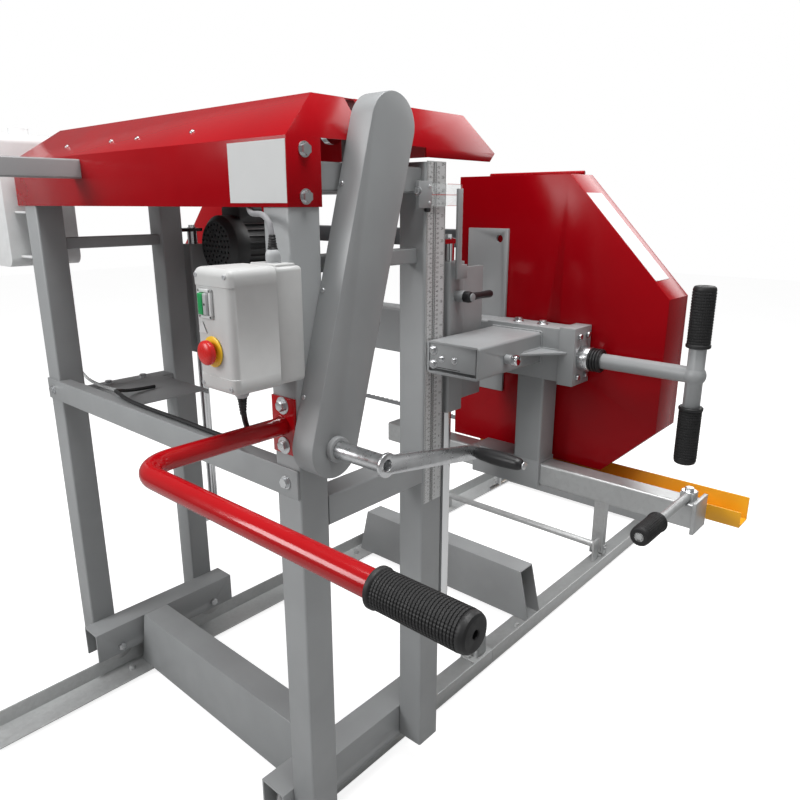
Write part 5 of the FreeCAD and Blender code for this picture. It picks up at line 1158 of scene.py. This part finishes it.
@dataclass
class BladeGuides:
    """The guide arm, its grip and clamp, and the yellow blade guard."""

    lug: Point = (1.03, 0.43, 0.84)

    def build(self) -> None:
        """Build the guide's pieces."""
        node = "guide_grip"
        RibbedGrip(node + "_rubber", "guide_beam", *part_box(node), "Y", 1, 16, (node,)).build()
        rollers = [((0.19, 0.48, 0.83), (0.25, 0.54, 0.89), Finish.TURNED_STEEL)]
        cad_bolt = [((1.01, 0.41, 0.838), (1.05, 0.45, 0.85))]
        take_over(("guide_beam", "guide_beam", Finish.ZINC_DIP, 0.001, rollers, cad_bolt))
        bolt = hex_bolt("guide_lug_bolt", self.lug, Z, 0.017, 0.5)
        finish_piece(bolt, "guide_beam", Finish.ZINC_PLATE)
        take_over(
            ("guide_holder", "head", Finish.FRAME_GREY, 0.0012),
            ("guide_clamp", "guide_clamp", Finish.ZINC_PLATE, 0.0006),
            ("blade_guard", "guide_beam", Finish.GUARD_YELLOW, 0.0006),
        )


@dataclass
class IndexArm:
    """The arm beside the rule, with its mouth plate, gusset, welds and plunger."""

    mouth: float = 0.1525
    left: float = 0.5514
    right: float = 0.6712
    foot: float = 1.0792

    def build(self) -> None:
        """Build the arm's pieces."""
        bright = [((0.6, 0.24, 1.06), (0.63, 0.26, 1.07), Finish.ZINC_PLATE)]
        rollers = [((0.6, 0.16, 1.1), (0.63, 0.18, 1.11)), ((0.68, 0.16, 1.1), (0.69, 0.18, 1.11))]
        take_over(("index_arm", "head", Finish.FRAME_GREY, 0.0012, bright, rollers))
        self.face()
        self.gusset()
        self.plunger()

    def face(self) -> None:
        """Close the arm's mouth by a folded plate, a painted-shade slit and four bolts."""
        front = self.mouth
        corner = (self.left, front, self.foot)
        plate = block("index_plate", corner, (self.right, front + 0.003, 1.1346), 0.0006)
        fold = block("index_fold", corner, (self.right, front + 0.03, 1.082), 0.0005)
        finish_set("index_mouth", [plate, fold], "head", Finish.FRAME_GREY)
        # The slit is a black strip laid on the plate's face: painted shade standing in for the
        # dark inside of a slit.
        low, high = (0.568, front - 0.0003, 1.0835), (0.632, front + 0.001, 1.085)
        finish_piece(block("index_slit", low, high, 0.0002, 1), "head", Finish.BLACK_PLASTIC)
        rows = ((0.5605, 1.1205, 0.012), (0.5605, 1.0905, 0.012))
        rows += ((0.583, 1.104, 0.009), (0.617, 1.105, 0.009))
        bolts = [
            hex_bolt(f"index_bolt_{i}", (x, front, z), -Y, across, 0.3 + i)
            for i, (x, z, across) in enumerate(rows)
        ]
        finish_set("index_bolts", bolts, "head", Finish.ZINC_PLATE)

    def gusset(self) -> None:
        """Set the flat gusset in the corner of arm and block, and the welds."""
        piece = prism("index_gusset", 3, 0.05, 0.006)
        plan = [tuple(round(part, 4) for part in v.co[:2]) for v in piece.data.vertices]
        spots = dict(zip(sorted(set(plan)), ((0.6795, 0.306), (0.6795, 0.3955), (0.752, 0.3955))))
        for vertex, corner in zip(piece.data.vertices, plan):
            vertex.co = (*spots[corner], 1.101 + vertex.co.z)
        with editing(piece):
            bpy.ops.mesh.normals_make_consistent(inside=False)
        finish_piece(soften(piece, 0.0012, 3), "head", Finish.FRAME_GREY)
        rows = (
            ((0.6805, 0.394, 1.072), (0.6805, 0.394, 1.138), 0.0028),
            ((0.549, 0.394, 1.1405), (0.679, 0.394, 1.1405), 0.0028),
            ((0.6805, 0.318, 1.1045), (0.6805, 0.392, 1.1045), 0.0022),
            ((0.683, 0.394, 1.1045), (0.744, 0.394, 1.1045), 0.0022),
        )
        welds = [bead(*row, seed) for seed, row in enumerate(rows, 3)]
        finish_set("index_welds", welds, "head", Finish.FRAME_GREY)

    def plunger(self) -> None:
        """Turn the plunger's sleeve nut and its round knob."""
        nose = [(0.0, -0.028), (0.004, -0.028), (0.0048, -0.026), (0.0048, -0.0005)]
        nose += [(0.0095, -0.0005), (0.0095, 0.0012), (0.0112, 0.0022), (0.0118, 0.0045)]
        nose += [(0.0118, 0.0115), (0.0112, 0.0138), (0.009, 0.0158), (0.004, 0.0163)]
        nose += [(0.0, 0.0163)]
        knob = spun("index_plunger_knob", nose, (0.6961, 0.25, 1.102), X, 40, 28)
        finish_piece(knob, "index_plunger", Finish.CHROME, "index_plunger")


@dataclass
class Pointer:
    """The clear pointer plate that crosses the rule, with its bracket."""

    height: float = 1.437
    half: float = 0.022
    bracket: float = 0.026

    def build(self) -> None:
        """Build the plate, its red line and frame, and the bracket with its screws."""
        z, half = self.height, self.half
        low, high = (0.5474, 0.116, z - half), (0.5496, 0.2575, z + half)
        finish_piece(block("pointer_plate", low, high, 0.0003, 1), "head", Finish.POINTER_CLEAR)
        rows = ((0.15, -0.0006, 0.257, 0.0006), (0.206, 0.0212, 0.257, half))
        rows += ((0.206, -half, 0.257, -0.0212), (0.2563, -half, 0.2573, half))
        bars = [
            block("pointer_bar", (0.5497, near, z + low), (0.5499, far, z + high), 0)
            for near, low, far, high in rows
        ]
        finish_set("pointer_lines", bars, "head", Finish.MARK_RED)
        low, high = z - self.bracket, z + self.bracket
        plates = [
            block("pointer_face", (0.5501, 0.112, low), (0.5531, 0.151, high), 0.0008),
            block("pointer_leg", (0.5445, 0.1105, low), (0.5531, 0.1135, high), 0.0008),
        ]
        finish_set("pointer_bracket", plates, "head", Finish.FRAME_GREY)
        screws = [
            pan_screw(f"pointer_screw_{side}", (0.5531, 0.1435, z + side * 0.016), X, 0.0034)
            for side in (-1, 1)
        ]
        screws.append(hex_bolt("pointer_clamp", (0.5506, 0.1105, z + 0.006), -Y, 0.01, 0.2))
        finish_set("pointer_screws", screws, "head", Finish.ZINC_PLATE)
        knob = [(0.0, 0.0), (0.006, 0.0), (0.0066, 0.0012)]
        knob += [(0.0066, 0.006), (0.005, 0.0078), (0.0, 0.0078)]
        stud = spun("pointer_knob", knob, (0.549, 0.142, low), -Z, 24)
        finish_piece(stud, "head", Finish.BLACK_PLASTIC)


# ---------------------------------------------------------------- carriage


@dataclass
class SwitchBox:
    """The switch box with its buttons, collar, lid screws and glands."""

    lid_low: Point = (0.475, -0.361, 1.124)
    lid_high: Point = (0.575, -0.269, 1.324)
    corner: float = 0.013
    spare: float = 0.03
    inset: float = 0.012
    band: tuple[float, float] = (1.151, 1.296)

    def build(self) -> None:
        """Build the box's pieces; the lid is made with some spare depth, and trimmed."""
        deep = (self.lid_high[0], self.lid_high[1] + self.spare, self.lid_high[2])
        lid = block("switch_lid", self.lid_low, deep, self.corner, 6)
        self.trim(lid, self.lid_high[1], 1)
        self.recess(lid)
        finish_piece(lid, "carriage", Finish.BOX_PLASTIC, "switch_box")
        pad = block("switch_pad", (0.497, -0.262, 1.317), (0.566, -0.222, 1.3255), 0.002, 3)
        finish_piece(pad, "carriage", Finish.BOX_PLASTIC)
        base = block("switch_base", (0.4775, -0.287, 1.1265), (0.5725, -0.211, 1.3215), 0.008, 4)
        self.trim(base, -0.2672, -1)
        finish_piece(base, "carriage", Finish.BOX_PLASTIC)
        seal = block("switch_seal", (0.4795, -0.2705, 1.1285), (0.5705, -0.266, 1.3195), 0.0004, 1)
        finish_piece(seal, "carriage", Finish.GLAND_PLASTIC)
        self.screws()
        self.start()
        self.stop()
        self.glands()

    def trim(self, piece: Piece, plane: float, side: int) -> None:
        """Cut a rounded block off square where lid and base meet.

        Args:
            piece: the block.
            plane: where it is cut, along Y.
            side: 1 cuts the far part away, -1 the near part.
        """
        with editing(piece):
            bpy.ops.mesh.bisect(
                plane_co=(0, plane, 0), plane_no=(0, side, 0), use_fill=True, clear_outer=True
            )

    def recess(self, lid: Piece) -> None:
        """Set the lid's middle band a little behind its two ends."""
        low, high = self.band
        step = 0.0008
        with editing(lid):
            for height in (low, low + step, high - step, high):
                bpy.ops.mesh.select_all(action="SELECT")
                bpy.ops.mesh.bisect(plane_co=(0, 0, height), plane_no=(0, 0, 1))
            pick(lid, lambda v: low + step / 2 < v.co.z < high - step / 2 and v.co.y < -0.275)
            middle = ((self.lid_low[0] + self.lid_high[0]) / 2, self.lid_high[1], 0)
            bpy.ops.transform.resize(value=(0.982, 0.987, 1), center_override=middle)
        shaded(lid, 30)

    def screws(self) -> None:
        """Sink four slotted screws into the lid's corners."""
        profile = [(0.0, 0.0004), (0.0018, 0.0004), (0.0018, 0.0009)]
        profile += [(0.0036, 0.0009), (0.0042, 0.0003), (0.0042, -0.002)]
        screws = [
            spun("switch_lid_screw", profile, (x, self.lid_low[1], z), -Y, 24)
            for x in (self.lid_low[0] + self.inset, self.lid_high[0] - self.inset)
            for z in (self.lid_low[2] + self.inset, self.lid_high[2] - self.inset)
        ]
        finish_set("switch_lid_screws", screws, "carriage", Finish.GLAND_PLASTIC)

    def start(self) -> None:
        """Build the start button in its raised frame."""
        near, far = self.lid_low[1] - 0.004, self.lid_low[1] + 0.001
        rows = ((0.495, 1.245, 0.529, 1.2505), (0.495, 1.2855, 0.529, 1.291))
        rows += ((0.495, 1.245, 0.5005, 1.291), (0.5235, 1.245, 0.529, 1.291))
        bars = [
            block("start_frame", (left, near, foot), (right, far, head), 0.001)
            for left, foot, right, head in rows
        ]
        finish_set("start_button_frame", bars, "carriage", Finish.PLATE_WHITE)
        low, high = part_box("start_button")
        parting = low[0] + (high[0] - low[0]) * 0.56
        button = block("start_button_cap", low, (parting, high[1], high[2]), 0.0016, 3)
        finish_piece(button, "start_button", Finish.START_GREEN, "start_button")
        corner = (parting + 0.0003, low[1] + 0.001, low[2])
        blank = block("start_button_blank", corner, high, 0.0016, 3)
        finish_piece(blank, "start_button", Finish.GLAND_PLASTIC)
        dot = [(0.0, 0.0), (0.0021, 0.0), (0.0021, 0.0003), (0.0, 0.0003)]
        at = ((parting + high[0]) / 2, low[1] + 0.0011, (low[2] + high[2]) / 2)
        mark = spun("start_button_dot", dot, at, -Y, 20)
        finish_piece(mark, "start_button", Finish.BLACK_PLASTIC)

    def stop(self) -> None:
        """Turn the mushroom head and its yellow collar."""
        low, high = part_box("stop_button")
        x, z = (low[0] + high[0]) / 2, (low[2] + high[2]) / 2
        radius = (high[0] - low[0]) / 2
        height = high[1] - low[1]
        profile = [(0.0, 0.01), (radius * 0.5, 0.01), (radius * 0.5, height * 0.44)]
        profile += [(radius * 0.9, height * 0.47), (radius, height * 0.56)]
        profile += [(radius, height * 0.72), *dome(radius, height, 0.72, 0.28, 8, 0.8)]
        head = spun("stop_button_head", profile, (x, high[1], z), -Y)
        finish_piece(head, "stop_button", Finish.STOP_RED, "stop_button")
        ring = [(0.0, 0.0), (0.025, 0.0), (0.025, 0.0017), (0.0237, 0.0025)]
        ring += [(0.0138, 0.0025), (0.0138, 0.0004), (0.0, 0.0004)]
        collar = spun("stop_button_collar", ring, (x, self.lid_low[1] + 0.0002, z), -Y)
        finish_piece(collar, "carriage", Finish.STOP_YELLOW)

    def glands(self) -> None:
        """Build the two cable glands with their ribbed nuts."""
        glands = []
        for name, at, axis, tall in (
            ("top", (0.537, -0.244, 1.321), Z, 0.026),
            ("bottom", (0.505, -0.3, 1.124), -Z, 0.024),
        ):
            nut = [(0.006, 0.0), (0.0115, 0.0), (0.0115, tall * 0.3), (0.0125, tall * 0.34)]
            nut += [(0.0125, tall * 0.72), (0.0115, tall * 0.86), (0.0088, tall), (0.0052, tall)]
            glands.append(spun(f"gland_{name}_nut", nut, at, axis, 18, 50))
            flat = prism(f"gland_{name}_hexagon", 6, 0.0135, 0.006)
            turn_to(flat, axis, Vector(at) + axis * 0.0032, 0.3)
            glands.append(soften(flat, 0.0007))
        finish_set("switch_glands", glands, "carriage", Finish.GLAND_PLASTIC)


@dataclass
class HeightScale:
    """The height rule and the printed strip beside it, with plain numbers.

    fine is how thick a tick is, lift how far the ink is before the face, gap how
    far the strip is from the rule, and margin how far the ticks are from an edge.
    """

    fine: float = 0.00045
    lift: float = 0.00015
    gap: float = 0.0016
    strip: float = 0.0355
    margin: float = 0.0004

    def build(self) -> None:
        """Mark both edges of the two bands and write the numbers beside the long ticks."""
        first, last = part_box("height_scale")
        dress(Finish.SCALE_WHITE, "height_scale")
        near, far = last[1] + self.gap, last[1] + self.gap + self.strip
        strip = block("rule_strip", (first[0], near, first[2]), (last[0], far, last[2]), 0.0003, 1)
        finish_piece(strip, "carriage", Finish.SCALE_WHITE)
        face = last[0] + self.lift
        marks = []
        metric = (0.01, ((0.1, 0.0042), (0.5, 0.0062), (1.0, 0.0078)))
        inches = (0.0254, ((0.0625, 0.0034), (0.25, 0.005), (1.0, 0.0066)))
        for edge, side, (unit, rows), tall in (
            (last[1] - self.margin, -1, metric, 0.0056),
            (first[1] + self.margin, 1, inches, 0.0056),
            (near + self.margin, 1, metric, 0.007),
            (far - self.margin, -1, inches, 0.0085),
        ):
            for share, reach in rows:
                low = (face, edge + side * reach / 2, first[2])
                marks.append(self.row(low, last[2], unit * share, reach))
            count = int((last[2] - first[2] - 0.004) / unit)
            for value in range(1, count + 1):
                across = edge + side * (rows[-1][1] + tall * 0.45)
                spot = (face, across, first[2] + value * unit)
                marks.append(self.figure(str(value), tall, spot))
        finish_set("rule_marks", marks, "carriage", Finish.SCALE_INK)

    def row(self, low: Point, high: float, pitch: float, reach: float) -> Piece:
        """One row of ticks of equal length.

        Args:
            low: the middle of the ticks, at the rule's lower end.
            high: the height of the rule's upper end.
            pitch: the height from tick to tick.
            reach: how long a tick is.

        Returns:
            The row.
        """
        clear_bench()
        middle = (low[0], low[1], low[2] + pitch)
        bpy.ops.mesh.primitive_plane_add(size=1, location=middle, rotation=(0, math.pi / 2, 0))
        tick = bpy.context.object
        tick.scale = (self.fine, reach, 1)
        settle(tick, "rule_row")
        return modify(
            tick,
            "ARRAY",
            count=int((high - low[2] - 0.002) / pitch),
            use_relative_offset=False,
            use_constant_offset=True,
            constant_offset_displace=(0, 0, pitch),
        )

    def figure(self, words: str, height: float, spot: Point) -> Piece:
        """Write one number of a height on the rule's face, about a spot."""
        clear_bench()
        bpy.ops.object.text_add(location=(0, 0, 0))
        text = bpy.context.object.data
        text.body = words
        text.size = height
        text.align_x = text.align_y = "CENTER"
        text.resolution_u = 2
        bpy.ops.object.convert(target="MESH")
        piece = bpy.context.object
        x, y, z = spot
        piece.matrix_world = Matrix(((0, 0, 1, x), (1, 0, 0, y), (0, 1, 0, z), (0, 0, 0, 1)))
        return settle(piece, "rule_figure")


@dataclass
class Plates:
    """The bare white plates on the hood, the switch box and the right cover."""

    thick: float = 0.0007
    hood_screws: tuple[float, ...] = (-0.32, -0.097, 0.016, 0.225)

    def build(self) -> None:
        """Fix the three plates, and the screws of the hood."""
        low, high = (0.386, -0.2138 - self.thick, 1.4205), (0.5432, -0.2135, 1.5205)
        finish_piece(block("hood_plate", low, high, 0.0003, 1), "carriage", Finish.PLATE_WHITE)
        self.box_plate()
        self.cover_plate()
        slope = Vector((0, -0.588, 0.809)).normalized()
        heads = [
            pan_screw(f"hood_screw_{index}", (x, -0.178, 1.5522), slope, 0.0055, 0.5 + index)
            for index, x in enumerate(self.hood_screws)
        ]
        finish_set("hood_screws", heads, "carriage", Finish.ZINC_PLATE)

    def box_plate(self) -> None:
        """Fix the small three-cornered plate below the start button."""
        plate = prism("box_plate", 3, 0.0125, self.thick)
        turn_to(plate, -Y, Vector((0.497, -0.3613, 1.2265)))
        finish_piece(soften(plate, 0.0002, 1), "carriage", Finish.PLATE_WHITE)

    def cover_plate(self) -> None:
        """Fix the long plate on the sloping side of the right cover."""
        clear_bench()
        bpy.ops.mesh.primitive_cube_add(size=1)
        plate = bpy.context.object
        plate.scale = (0.249, 0.073, self.thick)
        settle(plate, "cover_plate")
        plate.rotation_euler = (0, math.atan2(0.256, 0.246), 0)
        plate.location = Vector((0.8113, 0.5105, 1.3527)) + Vector((0.721, 0, 0.693)) * 0.0002
        settle(plate, "cover_plate")
        finish_piece(soften(plate, 0.0002, 1), "head", Finish.PLATE_WHITE)


@dataclass
class Carriage:
    """The wheeled frame with its hood, tank and fittings."""

    wheels: tuple[str, ...] = ("left_near", "left_far", "right_near", "right_far")

    def build(self) -> None:
        """Build the carriage."""
        take_over(
            ("posts", "carriage", Finish.FRAME_GREY, 0.0014),
            ("foot_channels", "carriage", Finish.FRAME_GREY, 0.0012),
            ("wheel_axles", "carriage", Finish.ZINC_PLATE, 0.0006),
            ("front_bar", "carriage", Finish.FRAME_GREY, 0.0012),
            ("side_beams", "carriage", Finish.FRAME_GREY, 0.0012),
            ("upper_frame", "carriage", Finish.FRAME_GREY, 0.001),
            ("hood", "carriage", Finish.COVER_RED, 0.001),
            ("hanger_arm", "carriage", Finish.FRAME_GREY, 0.001),
            ("lube_tank", "carriage", Finish.TANK_PLASTIC, 0.002),
        )
        dress(Finish.CHROME, "columns")
        dress(Finish.ZINC_PLATE, "frame_bolts")
        for place in self.wheels:
            name = f"wheel_{place}"
            take_over((name, name, Finish.TURNED_STEEL, 0.0006))
        for fitting in (SwitchBox(), HeightScale(), PushHandle(), CrankDrive(), Plates()):
            fitting.build()


class Track:
    """The rails, the bunks and the log stop."""

    def build(self) -> None:
        """Build the track."""
        take_over(
            ("rails", "track", Finish.ZINC_DIP, 0.0008),
            ("bunks", "track", Finish.FRAME_GREY, 0.0014),
            ("track_fittings", "track", Finish.ZINC_DIP, 0.0008),
            ("log_stop", "log_stop", Finish.ZINC_DIP, 0.001),
        )


# ---------------------------------------------------------------- head


class Head:
    """The saw head: beam, covers, band wheels, band, belt and motor."""

    def build(self) -> None:
        """Build the head."""
        take_over(
            ("sleeves", "head", Finish.FRAME_GREY, 0.001),
            ("head_beam", "head", Finish.FRAME_GREY, 0.0012),
            ("cover_left", "head", Finish.COVER_RED, 0.0008),
            ("cover_right", "head", Finish.COVER_RED, 0.0008),
            ("blade_cover", "head", Finish.DARK_GREY, 0.0008),
            ("motor", "head", Finish.MOTOR_BLACK, 0.0008),
        )
        IndexArm().build()
        take_over(
            ("door_left", "door_left", Finish.COVER_RED, 0.0006),
            ("door_right", "door_right", Finish.COVER_RED, 0.0006),
        )
        dress(Finish.CAST_GREY, "drive_wheel", "idler_wheel", "motor_pulley")
        dress(Finish.BELT_RUBBER, "drive_belt")
        dress(Finish.BAND_STEEL, "blade")
        self.lever()
        cad_pointer = [((0.546, 0.1, 1.42), (0.552, 0.26, 1.46))]
        take_over(("head_fittings", "head", Finish.FRAME_GREY, 0.0008, [], cad_pointer))
        Pointer().build()

    def lever(self) -> None:
        """Shape the clamping lever: a domed hub and a tapered arm with a thicker end."""
        low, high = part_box("lock_lever")
        at = ((low[0] + high[0]) / 2, low[1] + 0.013, (low[2] + high[2]) / 2)
        hub = [(0.0, -0.009), (0.0125, -0.009), (0.0125, 0.002), (0.0115, 0.0062)]
        hub += [(0.008, 0.0084), (0.0056, 0.009), (0.0056, 0.0078), (0.0, 0.0078)]
        reach = high[1] - at[1]
        shares = (0.15, 0.35, 0.5, 0.65, 0.8, 0.9, 0.96, 0.99, 1.0)
        radii = (0.0088, 0.008, 0.0076, 0.0079, 0.0085, 0.0088, 0.008, 0.005, 0.0)
        arm = [(0.0, 0.0), (0.0078, 0.004)]
        arm += [(radius, reach * share) for radius, share in zip(radii, shares)]
        pieces = [spun("lever_hub", hub, at, X, 40, 28), spun("lever_arm", arm, at, Y, 28, 60)]
        name = "lock_lever_handle"
        finish_set(name, pieces, "lock_lever", Finish.BLACK_PLASTIC, "lock_lever")


def main() -> None:
    """Build the whole machine in order."""
    logging.basicConfig(level=logging.INFO, format="%(name)s: %(message)s")
    Studio().set_up()
    for lead in LEADS:
        lead.build()
    for assembly in (Track(), Carriage(), Head(), TensionUnit(), BladeGuides()):
        LOG.info("building %s", type(assembly).__name__)
        assembly.build()


if __name__ == "__main__":
    main()
